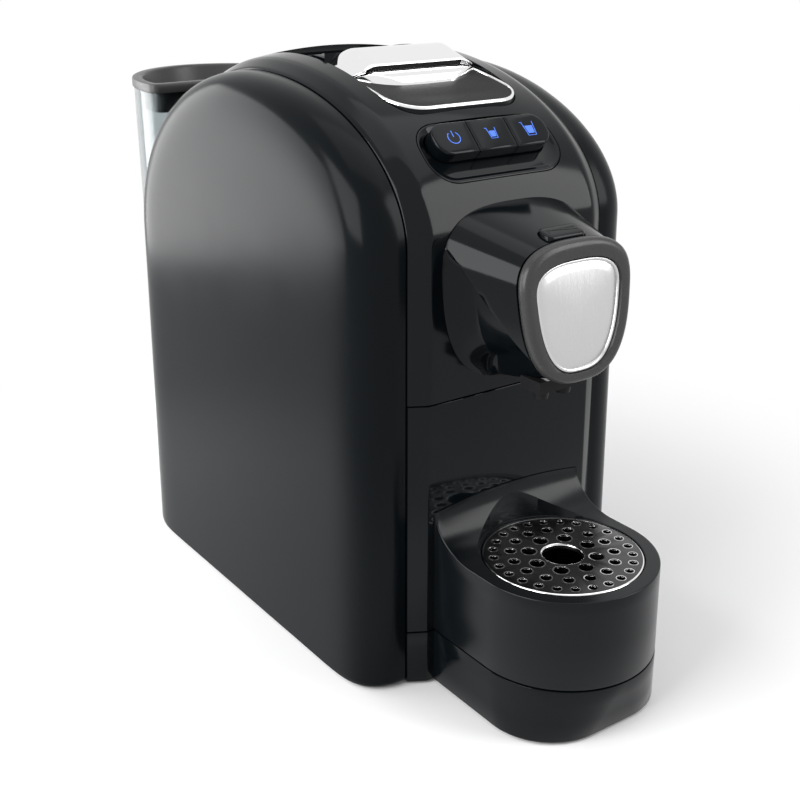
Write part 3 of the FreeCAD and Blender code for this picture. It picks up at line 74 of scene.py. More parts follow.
WELL_DEPTH, WELL_GAP, TUB_WALL = 5.0, 0.6, 2.4
GRIP_FRONT, GRIP_REAR, GRIP_BASE, GRIP_ROUND = 97.2, 130.0, 254.0, 10.0
PAD_DEPTH, PAD_REAR, PAD_TOP = 2.2, 164.6, 264.2
BUTTON_SPOT = (52.6, 231.8)
BUTTON_TILT = math.radians(45)
BEZEL_HALF, BEZEL_TALL, BEZEL_CORNER = 35.0, 14.8, 12.5
BUTTON_UP, BUTTON_WIDE, BUTTON_HIGH, BUTTON_PITCH = 3.4, 19.6, 15.6, 20.0
BUTTON_TOP, BUTTON_END, BUTTON_FOOT, BUTTON_GAP = 3.3, 6.8, 10.2, 0.4
BEZEL_GAP, ICON_LIFT, ICON_THICK = 0.35, 0.02, 0.12
COLUMN, SEAT, BOWL = 40.5, 34.4, 31.0
DISC_TOP, DISC_PLATE, LIP_HEIGHT, COVE_START = 66.0, 2.2, 85.5, 12.0
DRAWER_LOW, BASE_TOP, PANEL_TOP = 26.3, 25.7, 130.7
FOOT_CORNER, FOOT_DRAW = 29.0, 6.5
SHELF_HALF, SHELF_REAR, SHELF_TOP, SHELF_CORNER = 48.0, 330.0, 14.0, 38.4
TANK_AXIS, TANK_HALF, TANK_BOW, TANK_FRONT = 272.0, 53.4, 66.6, 265.0
TANK_LOW, TANK_HIGH, TANK_TAPER, TANK_WALL, TANK_CORNER = 14.3, 233.0, 3.5, 2.2, 4.0
# Nose outlines: half width, top and bottom
NOSE_ROOT, NOSE_TIP = (38.0, 211.0, 137.0), (27.4, 201.7, 145.9)
NOSE_CAP, NOSE_PLATE = (28.0, 202.3, 145.3), (21.7, 194.4, 149.8)
NOSE_LEAN, NOSE_LEVEL, NOSE_MIDDLE = 0.1, 184.5, 174.0
NOSE_WAIST, NOSE_POWER, NOSE_TAPER = 180.0, 0.72, 0.07
SCOOP_DEPTH, SCOOP_MIDDLE = 9.5, 178.0
CATCH_HALF, CATCH_SPOT, CATCH_DEEP, CATCH_CORNER = 10.0, 8.6, 4.0, 2.8
CATCH_TOP, CATCH_SLOPE = 204.3, 0.27
QUARTER, FULL = math.pi / 2, 2 * math.pi


def spot(x, setback, z):
    """Turn millimetres into a place in the frame."""
    return Vector((x * MM, (setback + AXIS_Y) * MM, z * MM))


def ease(value):
    """Smooth step from 0 to 1."""
    value = min(max(value, 0.0), 1.0)
    return value * value * (3 - 2 * value)


def steps(start, end, count):
    """Evenly spaced numbers, both ends included."""
    return [start + (end - start) * at / count for at in range(count + 1)]


def curve_through(points, count):
    """Smooth curve through the given points."""
    last = len(points) - 1
    result = []
    for at in range(last):
        a, b, c, d = (Vector(points[min(max(at + shift, 0), last)]) for shift in (-1, 0, 1, 2))
        for step in range(count):
            t = step / count
            result.append(tuple(0.5 * (2 * b + (c - a) * t + (2 * a - 5 * b + 4 * c - d) * t * t
                                       + (3 * b - a - 3 * c + d) * t ** 3)))
    return result + [points[-1]]


def loft(rings, capped=True):
    """Skin through rings that have the same number of points, closed by a face at each end if capped."""
    count = len(rings[0])
    points = [point for ring in rings for point in ring]
    faces = []
    for low in range(0, len(points) - count, count):
        for at in range(count):
            after = (at + 1) % count
            faces.append((low + at, low + after, low + count + after, low + count + at))
    if capped:
        faces.append(tuple(range(count))[::-1])
        faces.append(tuple(range(len(points) - count, len(points))))
    return points, faces


def levels(plan, *heights):
    """One plan at several heights."""
    return [[(x, y, z) for x, y in plan] for z in heights]


def circle(radius, count, setback=0.0):
    """Points round a circle."""
    return [(radius * math.cos(t), setback + radius * math.sin(t)) for t in steps(0, FULL, count)[:-1]]


def bend(radius, count):
    """Quarter turn of a round corner, as distances from the two sides it joins."""
    return [(radius * (1 - math.cos(t)), radius * (1 - math.sin(t))) for t in steps(0, QUARTER, count)]


def spin(section, count, start=0.0):
    """Skin of a section, as radius and height over the disc's top, turned full circle."""
    return loft([[(radius * math.cos(t), radius * math.sin(t), DISC_TOP + z) for radius, z in section]
                 for t in steps(start, FULL + start, count)], False)


def box_skin(low, high):
    """Plain box between two corners."""
    ring = [(low[0], low[1]), (high[0], low[1]), (high[0], high[1]), (low[0], high[1])]
    return loft(levels(ring, low[2], high[2]))


def shade(obj, angle):
    """Smooth shading with hard edges above an angle in degrees."""
    obj.data.shade_smooth()
    obj.data.set_sharp_from_angle(angle=math.radians(angle))


def make(name, skins, angle=32, seat=None):
    """Object from one or more skins; seat is a matrix for skins drawn flat."""
    points, faces = [], []
    for skin_points, skin_faces in skins:
        faces += [tuple(at + len(points) for at in face) for face in skin_faces]
        points += skin_points
    mesh = bpy.data.meshes.new(name)
    if seat is None:
        mesh.from_pydata([spot(*point) for point in points], [], faces)
    else:
        mesh.from_pydata([seat @ (Vector(point) * MM) for point in points], [], faces)
    work = bmesh.new()
    work.from_mesh(mesh)
    bmesh.ops.remove_doubles(work, verts=work.verts, dist=2e-6)
    bmesh.ops.dissolve_degenerate(work, edges=work.edges, dist=1e-6)
    bmesh.ops.recalc_face_normals(work, faces=work.faces)
    work.to_mesh(mesh)
    work.free()
    obj = bpy.data.objects.new(name, mesh)
    bpy.context.scene.collection.objects.link(obj)
    shade(obj, angle)
    return obj


def bake(obj):
    """Turn an object with modifiers into a plain mesh."""
    graph = bpy.context.evaluated_depsgraph_get()
    mesh = bpy.data.meshes.new_from_object(obj.evaluated_get(graph))
    obj.modifiers.clear()
    obj.data = mesh


def carve(obj, tool, operation="DIFFERENCE"):
    """Cut a tool out of an object, or join it on, and drop the tool."""
    change = obj.modifiers.new("carve", "BOOLEAN")
    change.operation = operation
    change.solver = "EXACT"
    change.object = tool
    bake(obj)
    bpy.data.objects.remove(tool)


def dress(obj, material, body, slot, *nodes):
    """Give a piece its material, body and the CAD nodes it stands for."""
    obj.data.materials.clear()
    obj.data.materials.append(bpy.data.materials[material])
    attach(obj, body)
    if nodes:
        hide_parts(*nodes)
    return obj


def piece(name, skin, angle, *finish):
    """Object from one skin, dressed with its material and body; its slot is not used."""
    return dress(make(name, [skin], angle), *finish)


def stand_in(node, skin, angle, *finish):
    """Piece that is shown instead of one CAD node."""
    return piece(f"visual_{node}", skin, angle, *finish, node)


def arch(inset, rise=0.0):
    """Housing curve from the front spring over the crest to the rear spring, as setback and height."""
    turns = steps(0, QUARTER, 44)
    wide, tall = CREST - FRONT - inset, TOP + rise - inset - FRONT_SPRING
    curve = [(CREST - wide * math.cos(t), FRONT_SPRING + tall * math.sin(t)) for t in turns]
    wide, tall = REAR - CREST - inset, TOP + rise - inset - REAR_SPRING
    return curve + [(CREST + wide * math.cos(t), REAR_SPRING + tall * math.sin(t)) for t in turns[-2::-1]]


def cover_inset(x):
    """How far the cover's side bevel lies inside the middle band, with a soft crease."""
    soft = 0.7
    return BEVEL_DROP / (SHELL_HALF - COVER_HALF) * soft * math.log1p(math.exp((abs(x) - COVER_HALF) / soft))


def cover_rise(x):
    """Crown of the cover at x."""
    return CROWN * max(0.0, 1 - (x / COVER_HALF) ** 2)


def cover_height(x, setback):
    """Height of the cover's outside at a place."""
    inset, rise = cover_inset(x), cover_rise(x)
    ahead = setback < CREST
    wide = (CREST - FRONT if ahead else REAR - CREST) - inset
    spring = FRONT_SPRING if ahead else REAR_SPRING
    ratio = min(abs(setback - CREST) / wide, 1.0)
    return spring + (TOP + rise - inset - spring) * math.sqrt(1 - ratio * ratio)


def circle_height():
    """Height of the lever's top at a setback, from the arc through three points."""
    (x1, y1), (x2, y2), (x3, y3) = LEVER_POINTS
    twice = 2 * (x1 * (y2 - y3) + x2 * (y3 - y1) + x3 * (y1 - y2))
    one, two, three = x1 * x1 + y1 * y1, x2 * x2 + y2 * y2, x3 * x3 + y3 * y3
    middle = (one * (y2 - y3) + two * (y3 - y1) + three * (y1 - y2)) / twice
    level = (one * (x3 - x2) + two * (x1 - x3) + three * (x2 - x1)) / twice
    radius = math.hypot(x1 - middle, y1 - level)
    return lambda setback: level + math.sqrt(radius * radius - (setback - middle) ** 2)


lever_height = circle_height()


def lever_reach(setback, grow):
    """Half width of the lever's plan at a setback, grown all round."""
    corner, ahead = LEVER_CORNER + grow, setback - (LEVER_FRONT - grow)
    if ahead >= corner:
        return LEVER_HALF + grow
    return LEVER_HALF - LEVER_CORNER + math.sqrt(max(corner * corner - (corner - ahead) ** 2, 0))


def front_stations(start, end, count):
    """Setbacks that crowd towards the start, where the lever's corners are."""
    return [start + (end - start) * (at / count) ** 1.8 for at in range(count + 1)]


def slab(stations, reach, low, high):
    """Skin between two heights over a plan whose half width follows the setback."""
    rings = []
    for setback in stations:
        half = reach(setback)
        row = steps(-half, half, 12)
        rings.append([(x, setback, low(x, setback)) for x in row]
                     + [(x, setback, high(x, setback)) for x in reversed(row)])
    return loft(rings)


def rounded_plan(half, tall, corner):
    """Points round a rectangle with round corners, from the right side on."""
    corner = min(corner, half, tall)
    points = []
    for turn, (side, end) in enumerate(((1, 1), (-1, 1), (-1, -1), (1, -1))):
        for t in steps(turn * QUARTER, (turn + 1) * QUARTER, 8):
            points.append((side * (half - corner) + corner * math.cos(t),
                           end * (tall - corner) + corner * math.sin(t)))
    return points


def shield_point(t, half, top, bottom):
    """Point of the nose outline at an angle: wide above, narrow below."""
    c, s = math.cos(t), math.sin(t)
    x = half * math.copysign(abs(c) ** NOSE_POWER, c)
    z = (top - NOSE_WAIST if s > 0 else NOSE_WAIST - bottom) * math.copysign(abs(s) ** NOSE_POWER, s)
    return x * (1 + NOSE_TAPER * z / (top - NOSE_WAIST)), NOSE_WAIST + z


def shield(half, top, bottom):
    """Points round the nose outline."""
    return [shield_point(t, half, top, bottom) for t in steps(0, FULL, 96)[:-1]]


def add_nodes(tree, *kinds):
    """New nodes of the given kinds."""
    return [tree.nodes.new(kind) for kind in kinds]


def wire(tree, *rows):
    """Join nodes: source, its output, target, its input."""
    for source, output, target, into in rows:
        tree.links.new(source.outputs[output], target.inputs[into])


def set_inputs(node, **values):
    """Set sockets of a node by their names, with _ for each space."""
    for title, value in values.items():
        node.inputs[title.replace("_", " ")].default_value = value


def colour(value):
    """Grey level or colour as a shader colour."""
    return (value, value, value, 1.0) if isinstance(value, float) else (*value, 1.0)


def grain_group():
    """Shared fine unevenness: roughness and height from object coordinates."""
    group = bpy.data.node_groups.new("fine_grain", "ShaderNodeTree")
    for title in ("Scale", "Low", "High"):
        group.interface.new_socket(title, in_out="INPUT", socket_type="NodeSocketFloat")
    group.interface.new_socket("Stretch", in_out="INPUT", socket_type="NodeSocketVector")
    for title in ("Roughness", "Height"):
        group.interface.new_socket(title, in_out="OUTPUT", socket_type="NodeSocketFloat")
    inside, outside, place, stretch, noise, level = add_nodes(
        group, "NodeGroupInput", "NodeGroupOutput", "ShaderNodeTexCoord", "ShaderNodeVectorMath",
        "ShaderNodeTexNoise", "ShaderNodeMapRange")
    stretch.operation = "MULTIPLY"
    set_inputs(noise, Detail=3.0)
    set_inputs(level, From_Min=0.3, From_Max=0.7)
    wire(group, (place, "Object", stretch, 0), (inside, "Stretch", stretch, 1), (stretch, 0, noise, "Vector"),
         (inside, "Scale", noise, "Scale"), (noise, "Fac", level, "Value"), (inside, "Low", level, "To Min"),
         (inside, "High", level, "To Max"), (level, "Result", outside, "Roughness"),
         (noise, "Fac", outside, "Height"))


def surface(name, base, low, high, scale=60.0, stretch=(1, 1, 1), bump=0.0, **values):
    """Principled material whose roughness and relief come from the shared grain."""
    plain = bpy.data.materials.get(name)
    if plain:
        plain.name = f"{name}_plain"
    material = bpy.data.materials.new(name)
    material.use_nodes = True
    tree = material.node_tree
    shader = tree.nodes["Principled BSDF"]
    set_inputs(shader, Base_Color=colour(base), **values)
    grain, = add_nodes(tree, "ShaderNodeGroup")
    grain.node_tree = bpy.data.node_groups["fine_grain"]
    set_inputs(grain, Scale=scale, Low=low, High=high, Stretch=stretch)
    wire(tree, (grain, "Roughness", shader, "Roughness"))
    if bump:
        relief, = add_nodes(tree, "ShaderNodeBump")
        set_inputs(relief, Strength=bump, Distance=0.0002)
        wire(tree, (grain, "Height", relief, "Height"), (relief, "Normal", shader, "Normal"))


def tint(name, description, default):
    """Colour setting."""
    return bpy.props.FloatVectorProperty(name=name, description=description, subtype="COLOR", size=3,
                                         min=0.0, max=1.0, default=default)


def width(name, description, low, high, default):
    """Length setting."""
    return bpy.props.FloatProperty(name=name, description=description, subtype="DISTANCE", unit="LENGTH",
                                   min=low, max=high, default=default)


class CoffeeSettings(bpy.types.PropertyGroup):
    """Sizes and colours of the visual pieces."""

    gloss_black: tint("Gloss black", "Colour of the glossy housing", (0.0022, 0.0033, 0.0042))
    satin_black: tint("Satin black", "Colour of the satin inlays", (0.012, 0.012, 0.013))
    icon_glow: tint("Icon glow", "Colour of the lit icons", (0.045, 0.14, 0.62))
    hole_rim: width("Hole rim", "Width of the bright edge round each drip hole", 0.0001, 0.001, 0.00045)
    icon_line: width("Icon line", "Width of the lines in the icons", 0.0002, 0.001, 0.00036)
    button_round: width("Button rounding", "Radius of the buttons' upper edges", 0.0002, 0.002, 0.0009)


class COFFEE_OT_materials(bpy.types.Operator):
    """Make the materials and give them to the CAD pieces that stay visible"""

    bl_idname = "coffee.materials"
    bl_label = "Materials"

    def execute(self, context):
        settings = context.scene.coffee
        grain_group()
        gloss = tuple(settings.gloss_black)
        satin = tuple(settings.satin_black)
        for name, low, high, level in (("panel_gloss", 0.18, 0.22, 0.085), ("gloss_black", 0.1, 0.13, 0.16),
                                       ("soft_gloss", 0.2, 0.24, 0.19), ("mirror_black", 0.05, 0.07, 0.16)):
            surface(name, gloss, low, high, scale=40, Specular_IOR_Level=level)
        surface("satin_black", satin, 0.42, 0.5, scale=900, bump=0.08, Specular_IOR_Level=0.07)
        surface("lid_satin", 0.035, 0.3, 0.4, scale=700, bump=0.06, Specular_IOR_Level=0.3)
        surface("cap_grey", 0.032, 0.24, 0.3, scale=200, Specular_IOR_Level=0.3)
        surface("chrome", 0.84, 0.05, 0.08, scale=80, Metallic=1.0)
        surface("dark_steel", 0.075, 0.24, 0.34, scale=120, Metallic=1.0)
        surface("silver", 0.56, 0.24, 0.28, scale=90, stretch=(14, 1, 1), Metallic=1.0)
        surface("rubber", 0.02, 0.6, 0.75, scale=300, bump=0.1)
        surface("grey_plastic", 0.3, 0.42, 0.52, scale=200, bump=0.05)
        surface("steel", 0.55, 0.22, 0.34, scale=150, stretch=(1, 9, 1), Metallic=1.0)
        surface("cast_aluminium", 0.6, 0.4, 0.55, scale=260, bump=0.12, Metallic=1.0)
        surface("hose", (0.7, 0.7, 0.68), 0.3, 0.4, scale=100)
        surface("circuit", (0.03, 0.2, 0.08), 0.35, 0.45, scale=200)
        surface("clear", (0.58, 0.62, 0.63), 0.04, 0.07, scale=30, Transmission_Weight=1.0, IOR=1.2)
        glow = tuple(settings.icon_glow)
        surface("icon_glow", glow, 0.3, 0.35, Emission_Color=colour(glow), Emission_Strength=0.55)
        for row in frame["record"]["subparts"]:
            held = frame["nodes"][row["node"]]
            held.data.materials.clear()
            held.data.materials.append(bpy.data.materials[row["material_slot"]])
        return {"FINISHED"}


class COFFEE_OT_panels(bpy.types.Operator):
    """Build the two arched side panels with their rolled edges"""

    bl_idname = "coffee.panels"
    bl_label = "Side panels"

    def outline(self, inset, low):
        """Side view of the housing, drawn in by an inset, down to a low edge with small corners."""
        front, rear = FRONT + inset, REAR - inset
        corner = bend(PANEL_CORNER, 6)
        ring = [(front + along, low + up) for up, along in corner]
        ring += [(front, z) for z in steps(low + PANEL_CORNER, FRONT_SPRING, 10)[1:-1]]
        ring += arch(inset)
        ring += [(rear, z) for z in steps(REAR_SPRING, low + PANEL_CORNER, 10)[1:-1]]
        ring += [(rear - along, low + up) for along, up in corner]
        return ring + [(y, low) for y in steps(rear - PANEL_CORNER, front + PANEL_CORNER, 12)[1:-1]]

    def layers(self, thick):
        """Outlines from the lip round the rolled edge to the flat's middle, moved in by a thickness."""
        low, inset = PANEL_LOW + thick, PANEL_INSET + thick
        layers = [(PANEL_INNER, self.outline(inset, low))]
        for part in [(at / 20) ** 3 for at in range(21)]:
            x = PANEL_EDGE + (PANEL_OUTER - PANEL_EDGE) * math.sqrt(1 - (1 - part) ** ROLL_POWER)
            layers.append((x - thick, self.outline(inset + BULGE_INSET * part, low)))
        x, flat = layers[-1]
        for shrink in (0.75, 0.5, 0.25, 0.02):
            layers.append((x, [(FLAT_MIDDLE + (y - FLAT_MIDDLE) * shrink,
                                FLAT_LEVEL + (z - FLAT_LEVEL) * shrink) for y, z in flat]))
        return layers

    def execute(self, context):
        layers = self.layers(WALL)[::-1] + self.layers(0.0)
        for side, node in ((-1, "left_side_panel"), (1, "right_side_panel")):
            rings = [[(side * x, y, z) for y, z in ring] for x, ring in layers]
            stand_in(node, loft(rings), 40, "panel_gloss", "housing", "gloss_black")
        return {"FINISHED"}


class COFFEE_OT_cover(bpy.types.Operator):
    """Build the arched top cover with the lever well, capsule mouth and button opening"""

    bl_idname = "coffee.cover"
    bl_label = "Top cover"

    def profile(self, x, offset):
        """Side view of the cover at x, moved in by an offset."""
        inset = cover_inset(x) + offset
        rise = cover_rise(x)
        feet = [(FRONT + inset, z) for z in steps(COVER_LOW, FRONT_SPRING, 8)[:-1]]
        return feet + arch(inset, rise)

    def execute(self, context):
        half = steps(0, 40, 12) + steps(41, 47, 12) + [48.5, 50, SHELL_HALF - 0.3, SHELL_HALF]
        columns = [-x for x in reversed(half[1:])] + half
        outer = [self.profile(x, 0.3 if abs(x) == SHELL_HALF else 0.0) for x in columns]
        inner = [self.profile(x, WALL) for x in columns]
        rings = []
        for row in range(len(outer[0])):
            rings.append([(x, *outer[at][row]) for at, x in enumerate(columns)]
                         + [(x, *inner[at][row]) for at, x in reversed(list(enumerate(columns)))])
        cover = make("visual_top_cover", [loft(rings)])
        floor = lambda x, setback: lever_height(setback) - WELL_DEPTH
        stations = front_stations(LEVER_FRONT - 3.0, PIVOT + 8, 48)
        tub = slab(stations, lambda y: lever_reach(y, 3.0), lambda x, y: floor(x, y) - TUB_WALL,
                   lambda x, y: cover_height(x, y) - WALL / 2)
        carve(cover, make("tub", [tub]), "UNION")
        stations = front_stations(LEVER_FRONT - WELL_GAP, PIVOT + 5.6, 48)
        well = slab(stations, lambda y: lever_reach(y, WELL_GAP), floor, lambda x, y: 300.0)
        carve(cover, make("well", [well]))
        ways = {"capsule": ((-24.5, 90, 180), (24.5, 118, 300)),
                "left_arm": ((-29.4, 157.5, 230), (-25.6, 182.5, 254.5)),
                "right_arm": ((25.6, 157.5, 230), (29.4, 182.5, 254.5)),
                "nose": ((-20, 30, 142), (20, 40, 189))}
        for name, corners in ways.items():
            carve(cover, make(name, [box_skin(*corners)]))
        ring = rounded_plan(BEZEL_HALF + BEZEL_GAP, BEZEL_TALL + BEZEL_GAP, BEZEL_CORNER + BEZEL_GAP)
        carve(cover, make("hole", [loft(levels(ring, -20, 12))], seat=button_seat()))
        shade(cover, 28)
        dress(cover, "gloss_black", "housing", "gloss_black", "top_cover")
        return {"FINISHED"}


def button_seat():
    """Matrix from the flat button drawing to its slope on the arch."""
    return Matrix.Translation(spot(0, *BUTTON_SPOT)) @ Matrix.Rotation(BUTTON_TILT, 4, "X")


def lift_to_cover(u, v):
    """Height above the flat button drawing at which the cover's outside lies."""
    lean = math.cos(BUTTON_TILT)
    lift = 0.0
    for attempt in range(12):
        setback = BUTTON_SPOT[0] + (v - lift) * lean
        lift += (cover_height(u, setback) - BUTTON_SPOT[1] - (v + lift) * lean) * lean
    return lift


class COFFEE_OT_buttons(bpy.types.Operator):
    """Build the button recess, the three push buttons and their lit icons"""

    bl_idname = "coffee.buttons"
    bl_label = "Buttons"

    def ring(self, lift, plan):
        """Plan laid on the cover's outside and lifted."""
        return [(u, v, lift + lift_to_cover(u, v)) for u, v in plan]

    def strokes(self, lines, thick, level):
        """Flat ribbons along lines, a little above the button."""
        skins = []
        for line in lines:
            path = [Vector(point) for point in line]
            rings = []
            for at, point in enumerate(path):
                ahead = (path[min(at + 1, len(path) - 1)] - path[max(at - 1, 0)]).normalized()
                side = Vector((-ahead.y, ahead.x)) * thick / 2
                left, right, top = point + side, point - side, level + ICON_THICK
                rings.append([(*left, level), (*right, level), (*right, top), (*left, top)])
            skins.append(loft(rings))
        return skins

    def icon(self, name):
        """Lines and filled patch of an icon, about its own middle."""
        if name == "power":
            arc = [(2.9 * math.sin(t), -2.9 * math.cos(t)) for t in steps(-2.5, 2.5, 28)]
            return [arc, [(0, 3.4), (0, 0.3)]], []
        wide, tall = (2.2, 2.6) if name == "small_cup" else (2.9, 3.4)
        cup = [(-wide - 0.9, tall), (-wide, tall), (-wide * 0.72, -tall), (wide * 0.72, -tall), (wide, tall)]
        fill = [(-wide * 0.7, tall * 0.42), (-wide * 0.55, -tall * 0.7), (wide * 0.55, -tall * 0.7),
                (wide * 0.7, tall * 0.42)]
        return [cup], fill

    def bezel(self):
        """Ring on the cover that dips to a floor round the three buttons."""
        rows = ((0.0, -WALL - 1.2), (0.0, -0.3), (-0.12, -0.06), (-0.4, 0.02), (-0.9, -0.08), (-1.6, -0.4),
                (-2.4, -0.85), (-3.2, -1.15))
        rings = [self.ring(lift, rounded_plan(BEZEL_HALF + grow, BEZEL_TALL + grow, BEZEL_CORNER + grow))
                 for grow, lift in rows]
        half, tall = 1.5 * BUTTON_PITCH + BUTTON_GAP, BUTTON_HIGH / 2 + BUTTON_GAP
        for grow, lift in ((0.9, -1.5), (0.0, -1.9)):
            window = rounded_plan(half + grow, tall + grow, BUTTON_END + BUTTON_GAP + grow)
            window = [(u, v + BUTTON_UP) for u, v in window]
            rings.append(self.ring(lift, window))
        rings += levels(window, -9.2)
        return loft(rings + rings[:1], False)

    def button(self, name, middle, edge):
        """Cap with a round upper edge; only the outer ends of the row have round corners."""
        half, tall = BUTTON_WIDE / 2, BUTTON_HIGH / 2
        plan = []
        for u, v in rounded_plan(half, tall, BUTTON_END):
            sharp = (name == "power" and u > 0) or (name == "large_cup" and u < 0) or name == "small_cup"
            if sharp and abs(u) > half - BUTTON_END:
                u = math.copysign(half, u)
            plan.append((u, v))
        rings = []
        for down, inward in ((BUTTON_FOOT, 0), (edge, 0), (edge * 0.6, edge * 0.08),
                             (edge * 0.29, edge * 0.29), (edge * 0.08, edge * 0.6), (0, edge),
                             (-0.05, edge + 1.2), (-0.05, edge + 4)):
            shrunk = [(u * (1 - inward / half), v * (1 - inward / tall)) for u, v in plan]
            rings.append([(middle + u, BUTTON_UP + v, BUTTON_TOP - down) for u, v in shrunk])
        return loft(rings)

    def execute(self, context):
        settings = context.scene.coffee
        seat = button_seat()
        bezel = make("visual_button_bezel", [self.bezel()], 40, seat)
        dress(bezel, "mirror_black", "housing", "gloss_black", "button_bezel")
        for at, name in enumerate(("power", "small_cup", "large_cup")):
            middle = (at - 1) * BUTTON_PITCH
            cap = self.button(name, middle, settings.button_round / MM)
            button = make(f"visual_{name}_button", [cap], 40, seat)
            dress(button, "gloss_black", f"{name}_key", "gloss_black", f"{name}_button")
            lines, fill = self.icon(name)
            *lines, fill = ([(middle + u, BUTTON_UP + v) for u, v in line] for line in (*lines, fill))
            level = BUTTON_TOP + ICON_LIFT
            skins = self.strokes(lines, settings.icon_line / MM, level)
            if fill:
                skins.append(loft(levels(fill, level, BUTTON_TOP + 0.13)))
            dress(make(f"{name}_icon", skins, 40, seat), "icon_glow", f"{name}_key", "gloss_black")
        return {"FINISHED"}


class COFFEE_OT_lever(bpy.types.Operator):
    """Build the lever's chrome rim, grip roll and two inlays"""

    bl_idname = "coffee.lever"
    bl_label = "Lever"

    def rim(self, section):
        """Frame swept round the lever's plan, from its section as out and up."""
        inner = LEVER_CORNER - RIM_WIDTH / 2
        half, front = LEVER_HALF - RIM_WIDTH / 2, LEVER_FRONT + RIM_WIDTH / 2
        left = [(-half, y, (-1, 0)) for y in steps(165.0, front + inner, 24)[:-1]]
        for t in steps(0, QUARTER, 14):
            c, s = math.cos(t), math.sin(t)
            left.append((-half + inner - inner * c, front + inner - inner * s, (-c, -s)))
        path = left + [(x, front, (0, -1)) for x in steps(-half + inner, half - inner, 8)[1:-1]]
        path += [(-x, y, (-nx, ny)) for x, y, (nx, ny) in reversed(left)]
        return loft([[(x + nx * out, y + ny * out, lever_height(y + ny * out) + up) for out, up in section]
                     for x, y, (nx, ny) in path])

    def grip(self):
        """Roll across the lever: a crest that curls over to a lip, with round shoulders."""
        points = [(130.0, 255.0), (130.0, 262.0), (128.4, 264.6), (124.0, 266.2), (119.6, 266.6),
                  (116.4, 266.0), (111.0, 263.9), (106.0, 262.0), (104.0, 261.0), (104.2, 260.3),
                  (106.0, 260.1), (107.3, 259.7), (107.0, 259.1), (105.0, 258.5), (101.4, 257.2),
                  (98.4, 255.4), (97.2, 253.6), (97.2, 252.0)]
        section = curve_through(points, 5)
        half = LEVER_HALF - RIM_WIDTH - 0.1
        flat = half - GRIP_ROUND
        shoulder = [half - GRIP_ROUND * (1 - math.sin(t)) for t in steps(0, QUARTER - 0.08, 14)] + [half]
        rings = []
        for x in [-x for x in reversed(shoulder)] + steps(-flat, flat, 30)[1:-1] + shoulder:
            past = max(abs(x) - flat, 0) / GRIP_ROUND
            tall = 0.3 + 0.7 * (1 - past ** 1.6)
            tuck = min(max((abs(x) - 12) / (half - 12), 0), 1) ** 2
            rings.append([(x, max(y, GRIP_FRONT + 10 * tuck), GRIP_BASE + (z - GRIP_BASE) * tall)
                          for y, z in section])
        return loft(rings)

    def execute(self, context):
        bead = [(-0.6, -1.0), (0.6, -1.0), (0.6, -0.45), (0.42, -0.12), (0.15, 0.04), (-0.15, 0.04),
                (-0.42, -0.12), (-0.6, -0.45)]
        skirt = [(-0.5, -2.6), (0.5, -2.6), (0.5, -0.95), (-0.5, -0.95)]
        stand_in("lever_rim", self.rim(bead), 50, "chrome", "lever", "chrome")
        piece("lever_skirt", self.rim(skirt), 50, "gloss_black", "lever", "chrome")
        stand_in("lever_grip", self.grip(), 50, "chrome", "lever", "chrome")
        # The satin black strip in the notch under the grip's lip is a painted shadow: a dark sheet standing
        # in for the shade under the lip.
        gap = box_skin((-25.0, 106.2, 258.8), (25.0, 107.8, 260.1))
        piece("grip_shadow_strip", gap, 40, "satin_black", "lever", "chrome")
        inner = lambda y: lever_reach(y, -RIM_WIDTH)
        under = lambda x, y: lever_height(y) - PAD_DEPTH
        dish = lambda x, y: lever_height(y) - 0.7 - 0.9 * (1 - (x / 32) ** 2) * ease((y - 72) / 12)
        front = slab(front_stations(LEVER_FRONT + RIM_WIDTH, 110, 36), inner, under, dish)
        stand_in("lever_front_pad", front, 40, "satin_black", "lever", "satin_black")
        fall = lever_height(PAD_REAR) - PAD_TOP - 0.7
        ramp = lambda x, y: (PAD_TOP + fall * ease((y - GRIP_REAR) / (PAD_REAR - GRIP_REAR))
                             - 0.6 * ease((y - GRIP_REAR) / 3))
        rear = slab(steps(129.6, PAD_REAR, 24), inner, under, ramp)
        stand_in("lever_rear_pad", rear, 40, "mirror_black", "lever", "gloss_black")
        return {"FINISHED"}


